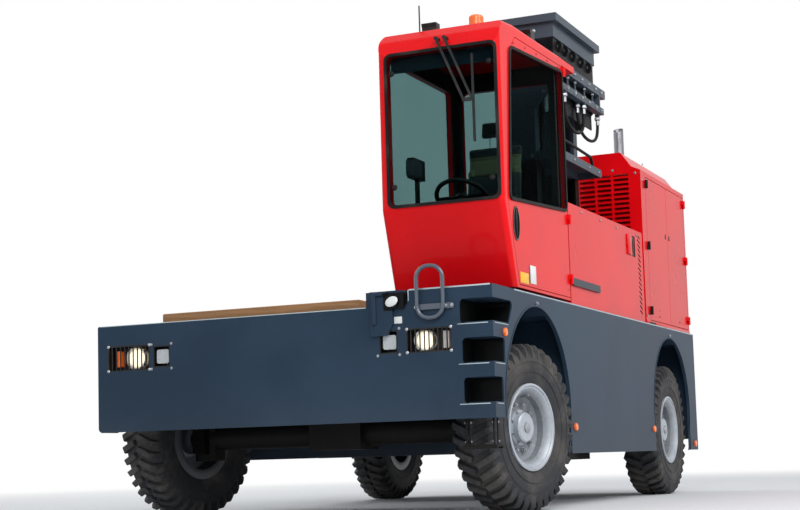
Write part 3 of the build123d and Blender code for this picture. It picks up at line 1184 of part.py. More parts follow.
def fork(y):
    """One fork: an upright shank, and a blade that tapers to its tip."""
    face = CARRIAGE_X1 - CARRIAGE_BAR_T
    heel = face - SHANK_T
    tip = heel - FORK_LENGTH
    profile = [(face, CARRIAGE_Z1 - 5), (heel, CARRIAGE_Z1 - 5), (heel, FORK_TOP), (tip, FORK_TOP),
               (tip, FORK_TOP - FORK_TIP_T), (heel - FORK_LENGTH * 0.55, FORK_TOP - FORK_T), (face, FORK_TOP - FORK_T)]
    blade = slab_y(profile, y - FORK_W / 2, y + FORK_W / 2, {2: 18, 6: 60})
    point = slab_z([(tip - 1, y - FORK_W / 2 - 1), (tip + 90, y - FORK_W / 2 - 1), (tip - 1, y - FORK_W / 2 + 55)],
                   FORK_TOP - FORK_T - 1, FORK_TOP + 1)
    other = slab_z([(tip - 1, y + FORK_W / 2 + 1), (tip + 90, y + FORK_W / 2 + 1), (tip - 1, y + FORK_W / 2 - 55)],
                   FORK_TOP - FORK_T - 1, FORK_TOP + 1)
    return blade - point - other


def fork_carriage():
    """The carriage that runs in the inner mast, with its two bars and the forks."""
    face = CARRIAGE_X1 - CARRIAGE_BAR_T
    frame = block(face, CARRIAGE_X1, -CARRIAGE_HALF, CARRIAGE_HALF, CARRIAGE_Z0, CARRIAGE_Z0 + 130)
    frame += block(face, CARRIAGE_X1, -CARRIAGE_HALF, CARRIAGE_HALF, CARRIAGE_Z1 - 130, CARRIAGE_Z1)
    arm_y = INNER_WEB - CHANNEL_W - ROLLER_SIDE_GAP
    roller_r = INNER_DEPTH / 2 - CHANNEL_FLANGE - SEAT_GAP
    for side in (-1, 1):
        frame += fork(side * FORK_Y)
        y0, y1 = span(side, SHEAVE_Y - CHAIN_W / 2, SHEAVE_Y + CHAIN_W / 2)
        anchor_x = SHEAVE_X - SHEAVE_R - CHAIN_T / 2 - MOVING_GAP
        frame += block(face, anchor_x, y0, y1, CARRIAGE_Z1 - 50, CARRIAGE_Z1 - 20)
        y0, y1 = span(side, arm_y - 35, arm_y)
        frame += block(face, CARRIAGE_X1, y0, y1, CARRIAGE_Z0, CARRIAGE_Z1)
        frame += block(face, INNER_MID_X + 30, y0, y1, CARRIAGE_ROLLER_Z[0] - 60, CARRIAGE_ROLLER_Z[1] + 60)
        y0, y1 = span(side, arm_y - 1, INNER_WEB - CHANNEL_WEB - ROLLER_SIDE_GAP)
        for z in CARRIAGE_ROLLER_Z:
            frame += rod_y(roller_r, INNER_MID_X, y0, y1, z)
    return frame


def bend_radii(points):
    """The largest even arcs that the runs on both sides of each inner point leave room for."""
    radii = []
    for before, corner, after in zip(points, points[1:], points[2:]):
        run_in = Vector(*corner) - Vector(*before)
        run_out = Vector(*after) - Vector(*corner)
        half_turn = math.radians(run_in.get_angle(run_out)) / 2
        radii.append(0.45 * min(run_in.length, run_out.length) / math.tan(half_turn))
    return radii


def mast_hoses():
    """Slack hose loops that hang from fittings under the hose frame's lower beam."""
    shapes = []
    for row in HOSE_ROUTES:
        points = [(hose_x(row), y, FITTING_Z - down) for y, down in row["route"]]
        radii = bend_radii(points)
        print("hose bends", [round(radius) for radius in radii])
        shapes.append(tube_along(points, HOSE_R, radii))
    return Compound(children=shapes)


def export(name, shape):
    placed = shape.moved(Location((0, PLAN_SHIFT_Y, 0)))
    placed.label = name
    export_step(placed, f"parts/{name}.step")


def main():
    os.makedirs("parts", exist_ok=True)
    single = {
        "chassis_frame": chassis_frame, "mast_rails": mast_rails, "front_plate": front_plate,
        "corner_steps": corner_steps, "side_skirts": side_skirts, "rear_plate": rear_plate,
        "load_decks": load_decks, "deck_timbers": deck_timbers,
        "headlamp_housings": headlamp_housings, "lamp_lenses": lamp_lenses, "hanging_step": hanging_step,
        "grab_rail": grab_rail, "mirror_bracket": mirror_bracket, "signal_lamps": signal_lamps,
        "cab_frame": cab_frame, "cab_roof": cab_roof, "cab_glass": cab_glass, "seat": seat,
        "cab_controls": cab_controls, "roof_fittings": roof_fittings, "cab_door": cab_door,
        "door_glass": door_glass, "side_panel": side_panel, "hood_shell": hood_shell,
        "engine_block": engine_block, "exhaust_stack": exhaust_stack, "front_axle": front_axle,
        "rear_axle": rear_axle, "mast_outer": mast_outer, "mast_inner": mast_inner, "lift_rods": lift_rods,
        "fork_carriage": fork_carriage, "mast_hoses": mast_hoses,
    }
    for name, make in single.items():
        export(name, make())
    for name in HOOD_DOORS:
        export(f"hood_door_{name}", hood_door(name))
    tyre = tyre_section()
    for name, side in (("left", 1), ("right", -1)):
        front = wheel_place(side, FRONT_AXLE_Y)
        rear = wheel_place(side, REAR_AXLE_Y)
        rim = rim_section(side)
        export(f"knuckle_{name}", steered(knuckle(side), side))
        export(f"tyre_front_{name}", steered(front * tyre, side))
        export(f"rim_front_{name}", steered(front * rim, side))
        export(f"tyre_rear_{name}", rear * tyre)
        export(f"rim_rear_{name}", rear * rim)


main()
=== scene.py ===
import json
import math

import bmesh
import bpy
from bpy.props import FloatProperty, FloatVectorProperty, IntProperty, PointerProperty
from mathutils import Matrix, Vector


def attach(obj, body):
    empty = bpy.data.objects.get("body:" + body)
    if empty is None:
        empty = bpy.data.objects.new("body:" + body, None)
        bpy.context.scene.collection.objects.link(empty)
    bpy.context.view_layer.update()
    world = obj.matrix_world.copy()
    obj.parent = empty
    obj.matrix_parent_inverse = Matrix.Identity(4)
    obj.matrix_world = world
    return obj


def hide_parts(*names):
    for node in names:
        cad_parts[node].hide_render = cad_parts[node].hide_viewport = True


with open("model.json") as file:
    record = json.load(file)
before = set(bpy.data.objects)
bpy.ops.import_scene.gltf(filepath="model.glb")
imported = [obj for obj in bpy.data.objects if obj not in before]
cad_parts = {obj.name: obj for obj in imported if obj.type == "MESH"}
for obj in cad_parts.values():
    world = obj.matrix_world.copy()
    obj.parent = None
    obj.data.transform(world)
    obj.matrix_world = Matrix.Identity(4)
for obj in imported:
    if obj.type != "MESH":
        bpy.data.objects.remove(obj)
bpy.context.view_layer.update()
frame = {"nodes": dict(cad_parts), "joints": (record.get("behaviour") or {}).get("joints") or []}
JOINTS = {joint["name"]: joint for joint in frame["joints"]}

bl_info = {
    "name": "Side loader dressing",
    "version": (1, 0, 0),
    "blender": (4, 5, 0),
    "location": "View3D > Sidebar > Side loader",
    "description": "Finishes, fastenings, trim, seat and stage for a side loader forklift",
    "category": "Object",
}


def tone(*screen):
    """A screen colour, each channel 0 to 255, as linear values."""
    shares = [channel / 255 for channel in screen]
    return tuple(s / 12.92 if s <= 0.04045 else ((s + 0.055) / 1.055) ** 2.4 for s in shares)


def dimmed(colour, share):
    """The colour with each channel multiplied by share."""
    return tuple(channel * share for channel in colour)


def with_alpha(colour):
    return (*colour[:3], 1.0)


DUST = tone(112, 106, 98)
BLACK = tone(16, 17, 19)
# Near black, used as painted shade in slots, recesses, the rims' inner side and the mast's shadowed parts
SHADE_BLACK = tone(9, 10, 12)
WHITE = (1.0, 1.0, 1.0, 1.0)

# Directions, with the cab on the left

LEFT = (1, 0, 0)
RIGHT = (-1, 0, 0)
FORWARD = (0, -1, 0)
BACKWARD = (0, 1, 0)
UP = (0, 0, 1)
SIDES = (-1, 1)

# Places on the truck, in metres

FRONT_Y = -2.716
REAR_Y = 2.646
HALF_W = 1.475
CORNER_X = 1.200
PLATFORM_Z = 1.356
CAB_DECK_Z = 1.455
CAB_X0 = 0.565
CAB_X1 = 1.445
CAB_FRONT_Y = -2.355
CAB_REAR_Y = -0.995
CAB_BOTTOM_Z = 1.483
CAB_BELT_Z = 2.040
CAB_TOP_Z = 3.237
CAB_SLOPE_LOW = 0.3232
CAB_SLOPE_HIGH = 0.0668
CAB_SKIN = 0.030
GRIP_Y = -2.125
GRIP_Z = 1.910
PANEL_X = 1.440
HOOD_X0 = 0.600
HOOD_Y0 = 1.115
HOOD_TOP_Z = 2.953
STEP_BANDS = [(0.709, 0.871), (0.961, 1.121), (1.215, 1.368)]
STEP_LIPS = [(0.707, 0.150), (0.959, 0.198), (1.213, 0.282)]
HANGER_XS = (1.253, 1.439)
ARCHES = [{"y": -1.860, "z": 0.705, "r": 0.665}, {"y": 1.750, "z": 0.745, "r": 0.620}]
ARCH_FOOT_Z = 0.380

LAMP_Z = 1.124
LAMP_BACK_Y = FRONT_Y + 0.082
HEADLAMPS = [
    {"x": -1.177, "r": 0.076, "half_w": 0.1715, "half_h": 0.0885, "middle": -1.220},
    {"x": 0.997, "r": 0.068, "half_w": 0.1555, "half_h": 0.079, "middle": 1.037},
]
SQUARE_LAMPS = [
    {"x": -0.954, "half_w": 0.0675, "half_h": 0.0745},
    {"x": 0.756, "half_w": 0.065, "half_h": 0.0745},
]
REAR_LAMP_XS = (-1.250, 1.250)
REAR_LAMP_Z = 1.180

# The seat and its pads

SEAT = (1.000, -1.535, 1.900)
SEAT_RAKE = 0.138
PAD_VOXEL = 0.006
CLOTH_FRAMES = 20
WAIST = 0.045
CHANNEL_DEPTH = 0.010
CHANNEL_WIDTH = 0.010

# The mast, its hoses and its chains, with Y from the mast's middle line

MAST_Y = -0.035
FROM_MIDDLE = Matrix.Translation((0, MAST_Y, 0))
MAST_HALF = 0.540
FRAME_BACK_X = 1.294
LEDGE_BACK_X = 1.280
LEDGE_Z0 = 2.635
LEDGE_Z1 = 2.699
CYLINDER_X = 0.951
SHEAVE_X = 0.951
SHEAVE_Z = 3.6673
SHEAVE_R = 0.080
CHAIN_Y = 0.200
CHAIN_FOOT_Z = 1.945
CHAIN_ANCHOR_Z = 2.720
LINK_PITCH = 0.0254
GUIDE_YS = (-0.400, -0.240, -0.040, 0.180, 0.380)
HOSE_R = 0.013
FITTING_Z = 3.135
HOSES = [
    {"name": "outer_hose", "x": 1.272, "length": 0.80, "route": [
        (-0.370, 0.0), (-0.370, 0.115), (-0.290, 0.210), (-0.120, 0.240),
        (0.050, 0.210), (0.130, 0.115), (0.130, 0.0)]},
    {"name": "inner_hose", "x": 1.240, "length": 0.82, "route": [
        (0.060, 0.0), (0.060, 0.100), (0.150, 0.190), (0.340, 0.220),
        (0.530, 0.190), (0.620, 0.100), (0.620, 0.0)]},
]

WHEELS = [
    {"name": "front_left", "side": 1}, {"name": "front_right", "side": -1},
    {"name": "rear_left", "side": 1}, {"name": "rear_right", "side": -1},
]


# Node trees

def operation(kind, turned=False):
    """A method that puts a socket and another value through one Math node, the other first where turned."""
    def method(self, other):
        values = (other, self) if turned else (self, other)
        return self.finish.node("ShaderNodeMath", {"operation": kind}, dict(enumerate(values)))
    return method


class Link:
    """A shader socket that takes part in arithmetic."""

    def __init__(self, finish, socket):
        self.finish = finish
        self.socket = socket

    __add__ = __radd__ = operation("ADD")
    __sub__ = operation("SUBTRACT")
    __rsub__ = operation("SUBTRACT", True)
    __mul__ = __rmul__ = operation("MULTIPLY")
    __pow__ = operation("POWER")
    most = operation("MAXIMUM")
    above = operation("GREATER_THAN")
    below = operation("LESS_THAN")

    def clamped(self):
        return self.finish.node("ShaderNodeClamp", {}, {0: self})

    def ramp(self, low, high):
        """0 below low, 1 above high, smooth between them."""
        return self.finish.node("ShaderNodeMapRange", {"interpolation_type": "SMOOTHSTEP"},
                                {0: self, 1: low, 2: high})


def spaced(sockets):
    """The sockets by their own names, which have spaces where the keys have lines."""
    return {key.replace("_", " "): value for key, value in sockets.items()}


def most_of(masks):
    """The highest of several masks."""
    highest = masks[0]
    for mask in masks[1:]:
        highest = highest.most(mask)
    return highest


class Finish:
    """One node tree, of a material or of the world."""

    def __init__(self, name, library="materials"):
        self.holder = getattr(bpy.data, library).new(name)
        self.holder.use_nodes = True
        self.tree = self.holder.node_tree
        self.tree.nodes.clear()

    def node(self, kind, settings, inputs, output=0):
        """Adds a node with its settings and its sockets' values or links, and gives one output."""
        made = self.tree.nodes.new(kind)
        for key, value in settings.items():
            setattr(made, key, value)
        for key, value in inputs.items():
            if isinstance(value, Link):
                self.tree.links.new(value.socket, made.inputs[key])
            else:
                made.inputs[key].default_value = value
        return Link(self, made.outputs[output]) if made.outputs else None

    def spot(self):
        """Object coordinates."""
        return self.node("ShaderNodeTexCoord", {}, {}, 3)

    def place(self, scale=(1.0, 1.0, 1.0)):
        """Object coordinates, stretched by scale."""
        return self.node("ShaderNodeMapping", {}, {"Vector": self.spot(), "Scale": scale})

    def axis(self, index):
        """Object coordinates along one axis."""
        return self.node("ShaderNodeSeparateXYZ", {}, {0: self.spot()}, index)

    def within(self, x=None, y=None, z=None):
        """1 inside the given spans of the axes, and 0 outside."""
        mask = None
        for index, span in enumerate((x, y, z)):
            if span:
                spot = self.axis(index)
                part = spot.above(span[0]) * spot.below(span[1])
                mask = part if mask is None else mask * part
        return mask

    def rays(self, *kinds):
        """1 for rays of any of these kinds, and 0 for others."""
        return most_of([self.node("ShaderNodeLightPath", {}, {}, kind) for kind in kinds])

    def noise(self, scale, detail=2.0, stretch=(1.0, 1.0, 1.0), roughness=0.5):
        return self.node("ShaderNodeTexNoise", {}, {"Vector": self.place(stretch), "Scale": scale,
                                                    "Detail": detail, "Roughness": roughness})

    def cells(self, scale):
        return self.node("ShaderNodeTexVoronoi", {}, {"Vector": self.place(), "Scale": scale})

    def waves(self, settings, scale, stretch=(1.0, 1.0, 1.0), **sockets):
        inputs = {"Vector": self.place(stretch), "Scale": scale, **spaced(sockets)}
        return self.node("ShaderNodeTexWave", settings, inputs)

    def blend(self, first, second, factor):
        inputs = {0: factor}
        for key, colour in ((6, first), (7, second)):
            inputs[key] = colour if isinstance(colour, Link) else with_alpha(colour)
        return self.node("ShaderNodeMix", {"data_type": "RGBA", "clamp_factor": True}, inputs, 2)

    def bump(self, height, strength, distance):
        return self.node("ShaderNodeBump", {}, {"Height": height, "Strength": strength, "Distance": distance})

    def mixed(self, factor, first, second):
        return self.node("ShaderNodeMixShader", {}, {0: factor, 1: first, 2: second})

    def close(self, shader, output="ShaderNodeOutputMaterial"):
        """Ends the tree, and gives the material or world that it belongs to."""
        self.node(output, {}, {"Surface": shader})
        return self.holder

    def surface(self, film=None, **sockets):
        """The finished material, from the sockets of one Principled node.

        Through a pane the lamps shine as through a clear film of that colour, and light what is behind."""
        shader = self.node("ShaderNodeBsdfPrincipled", {}, spaced(sockets))
        if film:
            passing = self.rays("Is Shadow Ray", "Is Diffuse Ray")
            clear = self.node("ShaderNodeBsdfTransparent", {}, {"Color": with_alpha(film)})
            shader = self.mixed(passing, shader, clear)
        return self.close(shader)


# Masks, each 1 where its part of a surface lies

def cab_inside_shade(finish):
    """The inner faces of the cab's walls, behind its sloped front, darkened as painted shade."""
    height = finish.axis(2)
    low = (CAB_BELT_Z - height) * CAB_SLOPE_LOW
    front = low.most((height - CAB_BELT_Z) * CAB_SLOPE_HIGH) + CAB_FRONT_Y
    behind = (finish.axis(1) - front).above(CAB_SKIN)
    return behind * finish.within((CAB_X0 + CAB_SKIN, CAB_X1 - CAB_SKIN), (-9.0, CAB_REAR_Y - CAB_SKIN),
                                  (CAB_BOTTOM_Z + CAB_SKIN, CAB_TOP_Z + 0.012))


def hood_latches(finish):
    """The latches that stand proud of the hood's side, near its front edge."""
    return finish.within(x=(CAB_X1 + 0.002, 2.0), y=(1.20, 1.40))


def panel_slot_shade(finish):
    """The insides of the side panel's slots and of its latch pocket, painted near black as shade."""
    behind = (1.380, PANEL_X - 0.0006)
    slots = finish.within(x=behind, y=(0.910, 1.040), z=(1.52, 2.215))
    return slots.most(finish.within(x=behind, y=(0.745, 0.865), z=(1.99, 2.18)))


def grip_recess_shade(finish):
    """The inside of the cup behind the door's grip, painted near black as shade."""
    return finish.within(x=(1.405, CAB_X1 - 0.0006), y=(-2.195, -2.055), z=(1.79, 2.03))


def step_recess_shade(finish):
    """The floors and walls of the corner's step recesses, painted near black as shade."""
    deep = finish.axis(0).below(HALF_W - 0.010) * finish.axis(1).above(FRONT_Y + 0.010)
    return most_of([finish.within(z=band) for band in STEP_BANDS]) * deep


def rubbing_bar(finish):
    """The dark bar that stands proud of the side panel."""
    return finish.axis(0).above(PANEL_X + 0.001)


def mast_shade(finish):
    """What stands low, behind or in the shadow of the mast's beams."""
    low = finish.axis(2).below(LEDGE_Z0)
    plate = finish.within((1.200, 1.225), None, (3.035, 3.385))
    rail = finish.within((1.250, 1.290), None, (LEDGE_Z1 + 0.001, 2.900))
    return low.most(plate).most(rail)


def head_shade(finish):
    """The inner mast with its chain guard and rollers, below the grey crosshead."""
    return finish.axis(2).below(3.5785).most(finish.within((1.233, 1.262), None, (3.400, 3.5795)))


def rear_lenses(finish):
    """The lamps on the rear plate."""
    return finish.axis(1).above(2.60)


def clear_indicator(finish):
    """The front indicator on the cab's side, whose lens is clear."""
    return finish.within(x=(1.08, 1.19), y=(-2.76, -2.66), z=(1.05, 1.20))


def mirror_foot(finish):
    """The black foot that carries the bracket's oval reflector."""
    return finish.within(x=(0.735, 0.900), z=(1.325, 1.440))


# Finishes

def painted(name, colour, roughness, coat, dirt, dirt_top, fade, zones=(), specular=0.1):
    """Sprayed paint with faint orange peel, uneven fading, thin rain marks and road dust low down.

    Each zone is a function that takes the finish and gives a mask, with the colour that it has there; some
    zones paint shade into recesses, slots and hollows."""
    finish = Finish(name)
    patches = finish.noise(1.3, 4.0)
    streaks = finish.noise(14.0, 3.0, (1.0, 1.0, 0.05))
    grit = finish.noise(55.0, 3.0)
    low = 1 - finish.axis(2).ramp(0.1, dirt_top)
    dust = (low * dirt * (patches * 0.9 + grit * 0.5)).clamped()
    darker = dimmed(colour, 1 - fade * 1.6)
    lighter = tuple(min(1.0, channel * (1 + fade) + 0.002) for channel in colour)
    base = finish.blend(darker, lighter, patches.ramp(0.3, 0.7))
    base = finish.blend(base, darker, streaks.ramp(0.55, 0.8) * 0.12)
    base = finish.blend(base, DUST, dust)
    rough = roughness + dust * 0.4 + (patches - 0.5) * 0.06
    for mask_of, tint in zones:
        mask = mask_of(finish)
        base = finish.blend(base, tint, mask)
        rough = rough + mask * 0.12
    peel = finish.noise(260.0, 1.0)
    return finish.surface(Base_Color=base, Roughness=rough.clamped(),
                          Coat_Weight=(coat - dust * coat).clamped(), Coat_Roughness=0.08,
                          Specular_IOR_Level=specular, Normal=finish.bump(peel + grit * 0.4, 0.05, 0.002))


def rim_paint(name, colour, wheel):
    """Silver rim paint: a bright flange ring, a rough bowl darkened as painted shade, painted shade on the
    wheel's inner side, and dust.
    """
    finish = Finish(name)
    joint = JOINTS["spin_" + wheel["name"]]
    axis = Vector(joint["axis"]) * wheel["side"]
    vector_math = "ShaderNodeVectorMath"
    reach = finish.node(vector_math, {"operation": "SUBTRACT"}, {0: finish.spot(), 1: joint["pos_m"]})
    along = finish.node(vector_math, {"operation": "DOT_PRODUCT"}, {0: reach, 1: tuple(axis)}, 1)
    length = finish.node(vector_math, {"operation": "LENGTH"}, {0: reach}, 1)
    radius = (length * length - along * along).most(0.0) ** 0.5
    grit = finish.noise(38.0, 4.0)
    patches = finish.noise(5.0, 4.0)
    # The recessed bowl is rougher and darkened as painted shade, with random dull patches over the whole rim
    bowl = radius.ramp(0.118, 0.135) * (1 - radius.ramp(0.228, 0.262))
    bowl_shade_and_dull = (bowl * (0.62 + grit * 0.3) + patches.ramp(0.5, 0.8) * 0.2).clamped()
    base = finish.blend(colour, dimmed(colour, 0.40), bowl_shade_and_dull)
    base = finish.blend(base, DUST, (grit.ramp(0.45, 0.8) * 0.3).clamped())
    # Painted shade: everything inboard of the wheel's face goes near black
    base = finish.blend(base, SHADE_BLACK, along.below(-0.010) * 0.8)
    return finish.surface(Base_Color=base, Roughness=(0.36 + bowl_shade_and_dull * 0.3).clamped(), Metallic=0.15,
                          Coat_Weight=0.1, Coat_Roughness=0.1,
                          Normal=finish.bump(grit + patches, 0.08, 0.002))


def worn_paint(name, colour, bare, amount=0.55):
    """Dark paint that has rubbed through to steel in patches and fine scratches."""
    finish = Finish(name)
    patches = finish.noise(7.0, 6.0, roughness=0.65)
    scratches = finish.noise(60.0, 2.0, (0.08, 1.0, 1.0))
    worn = patches.ramp(amount, amount + 0.12) * 0.8 + scratches.ramp(0.68, 0.74) * 0.35
    base = finish.blend(colour, bare, worn.clamped())
    grime = finish.noise(2.4, 5.0).ramp(0.45, 0.7)
    return finish.surface(Base_Color=finish.blend(base, DUST, grime * 0.28), Metallic=(worn * 0.8).clamped(),
                          Roughness=(0.5 - worn * 0.15 + grime * 0.2).clamped(),
                          Normal=finish.bump(patches + scratches * 0.3, 0.1, 0.003))


def tyre_rubber(name, colour):
    """Tyre rubber, paler in random patches of dust."""
    finish = Finish(name)
    grit = finish.noise(38.0, 5.0, roughness=0.7)
    patches = finish.noise(4.5, 4.0)
    scuffs = finish.noise(160.0, 2.0)
    dust = (patches.ramp(0.42, 0.7) * 0.45 + grit.ramp(0.5, 0.75) * 0.3).clamped()
    base = finish.blend(colour, tone(104, 99, 92), dust)
    return finish.surface(Base_Color=base, Roughness=(0.72 + dust * 0.2).clamped(),
                          Normal=finish.bump(grit + scuffs * 0.5, 0.3, 0.003))


def glazing(name, tint):
    """Cab glass with a teal tint, a faint film and dust near its lower edge."""
    finish = Finish(name)
    film = finish.noise(2.2, 5.0, (1.0, 1.0, 0.5)).ramp(0.4, 0.8)
    low = 1 - finish.axis(2).ramp(2.05, 2.55)
    haze = (film * 0.2 + low * film * 0.4).clamped()
    return finish.surface(film=tuple(channel ** 0.5 for channel in tint), Roughness=0.0, IOR=1.01,
                          Transmission_Weight=1.0, Base_Color=finish.blend(tint, dimmed(tint, 0.8), haze))


def lamp_lens(name, colour, glow, lit):
    """Moulded lamp glass with fine ribs, which glows at the centre of each lit lamp."""
    finish = Finish(name)
    ribs = 60.0
    wave = finish.waves({"wave_type": "BANDS", "bands_direction": "X"}, ribs, Distortion=0.0)
    cells = finish.cells(ribs * 1.4)
    grime = finish.noise(20.0, 4.0).ramp(0.5, 0.8)
    cores = []
    for x, z, radius in lit:
        across = finish.axis(0) - x
        above = finish.axis(2) - z
        out = (across * across + above * above) ** 0.5
        cores.append(1 - out.ramp(radius * 0.62, radius * 1.04))
    return finish.surface(Base_Color=finish.blend(colour, DUST, grime * 0.25),
                          Roughness=(0.08 + grime * 0.2).clamped(), Alpha=(0.72 + grime * 0.15).clamped(),
                          Coat_Weight=0.3, Coat_Roughness=0.03,
                          Normal=finish.bump(wave + cells * 0.6, 0.3, 0.004),
                          Emission_Color=finish.blend((0.0, 0.0, 0.0), glow, most_of(cores)),
                          Emission_Strength=1.7)


def signal_glass(name, amber, red):
    """Amber side markers and beacon, and red lenses at the rear."""
    finish = Finish(name)
    cells = finish.cells(90.0)
    grime = finish.noise(20.0, 4.0).ramp(0.5, 0.8)
    base = finish.blend(amber, red, rear_lenses(finish))
    base = finish.blend(base, tone(196, 190, 184), clear_indicator(finish))
    base = finish.blend(base, DUST, grime * 0.2)
    return finish.surface(Base_Color=base, Roughness=(0.14 + grime * 0.2).clamped(), Coat_Weight=0.3,
                          Coat_Roughness=0.03, Emission_Color=finish.blend(base, (0.0, 0.0, 0.0), grime),
                          Emission_Strength=0.12, Normal=finish.bump(cells, 0.25, 0.003))


def timber(name, colour):
    """Sawn timber with grain along X, knots and weathering."""
    finish = Finish(name)
    rings = finish.waves({"wave_type": "RINGS", "rings_direction": "X"}, 16.0, (0.12, 1.0, 1.0),
                         Distortion=5.0, Detail=3.0, Detail_Scale=1.6)
    fibres = finish.noise(120.0, 4.0, (0.04, 1.0, 1.0))
    stain = finish.noise(2.3, 4.0, (0.6, 1.0, 1.0))
    base = finish.blend(dimmed(colour, 0.62), colour, rings * 0.6 + fibres * 0.4)
    base = finish.blend(base, tone(120, 104, 92), stain.ramp(0.5, 0.75) * 0.5)
    return finish.surface(Base_Color=base, Roughness=(0.78 + fibres * 0.15).clamped(),
                          Normal=finish.bump(fibres + rings * 0.5, 0.4, 0.002))


def moulded(name, colour, roughness, specular=0.5):
    """Moulded plastic or rubber with a fine grain and a little dust."""
    finish = Finish(name)
    grain = finish.cells(420.0)
    dust = finish.noise(6.0, 5.0).ramp(0.45, 0.8)
    return finish.surface(Base_Color=finish.blend(colour, DUST, dust * 0.22),
                          Roughness=(roughness + dust * 0.2).clamped(), Specular_IOR_Level=specular,
                          Normal=finish.bump(grain, 0.25, 0.001))


def bare_metal(name, colour, roughness, brushed=(1.0, 1.0, 0.05), stain=0.3):
    """Bare or plated metal with drawn lines and a few stains."""
    finish = Finish(name)
    lines = finish.noise(180.0, 2.0, brushed)
    spots = finish.noise(9.0, 5.0).ramp(0.5, 0.8)
    base = finish.blend(colour, tone(96, 84, 74), spots * stain)
    return finish.surface(Base_Color=base, Metallic=(1.0 - spots * stain).clamped(),
                          Roughness=(roughness + (lines - 0.5) * 0.2 + spots * 0.25).clamped(),
                          Normal=finish.bump(lines, 0.08, 0.001))


def woven(name, colour, thread, band=None, band_colour=None):
    """Woven cloth of two threads, with a slight sheen, flecks and, where band is given, a band."""
    finish = Finish(name)
    across = finish.waves({"bands_direction": "X"}, 300.0, Distortion=0.6, Detail=1.0)
    along = finish.waves({"bands_direction": "DIAGONAL"}, 210.0, Distortion=0.6, Detail=1.0)
    flecks = finish.noise(70.0, 3.0)
    weave = across * along
    base = finish.blend(colour, thread, weave * 0.5 + flecks.ramp(0.55, 0.7) * 0.2)
    if band:
        base = finish.blend(base, band_colour, finish.within(z=band) * (0.75 + weave * 0.25))
    return finish.surface(Base_Color=base, Roughness=(0.85 + flecks * 0.1).clamped(), Sheen_Weight=0.25,
                          Normal=finish.bump(weave, 0.4, 0.0012))


def colour_of(name, description, *screen):
    """A colour that a user may change, with its first value as a screen colour."""
    return FloatVectorProperty(name=name, description=description, subtype="COLOR", default=tone(*screen),
                               min=0.0, max=1.0)


class TruckColours(bpy.types.PropertyGroup):
    """Colours of the truck's finishes."""
    body: colour_of("Body red", "Paint of the cab, hood and side panel", 226, 4, 14)
    chassis: colour_of("Chassis blue-grey", "Paint of the chassis and platforms", 42, 60, 78)
    mast: colour_of("Mast grey", "Paint of the mast and its rails", 70, 79, 90)
    rim: colour_of("Rim silver", "Paint of the rims", 176, 182, 190)
    tyre: colour_of("Tyre rubber", "Colour of clean tyre rubber", 37, 38, 42)
    timber: colour_of("Timber", "Colour of the deck timbers", 176, 130, 88)
    glass: colour_of("Glass tint", "Tint of the cab's glass", 150, 174, 174)
    floor: colour_of("Floor", "Colour of the studio floor", 226, 228, 230)


class TruckSizes(bpy.types.PropertyGroup):
    """Sizes of the pieces that dress the truck."""
    gasket: FloatProperty(name="Gasket width", description="Width of the rubber round each pane",
                          default=0.021, min=0.01, max=0.08, unit="LENGTH")
    wheel_nut: FloatProperty(name="Wheel nut radius", description="Radius across the corners of a wheel nut",
                             default=0.0165, min=0.008, max=0.03, unit="LENGTH")
    nut_count: IntProperty(name="Wheel nuts", description="Number of nuts on each wheel", default=10,
                           min=5, max=16)
    lug_count: IntProperty(name="Tread bars", description="Number of tread bars on each shoulder",
                           default=38, min=20, max=60)
    lug_slant: FloatProperty(name="Tread bar slant", description="Angle of a tread bar across the tread",
                             default=math.radians(24), min=0.0, max=1.0, subtype="ANGLE")
    bolt: FloatProperty(name="Bolt radius", description="Radius of the general bolt heads",
                        default=0.011, min=0.004, max=0.03, unit="LENGTH")


FINISHES = {}


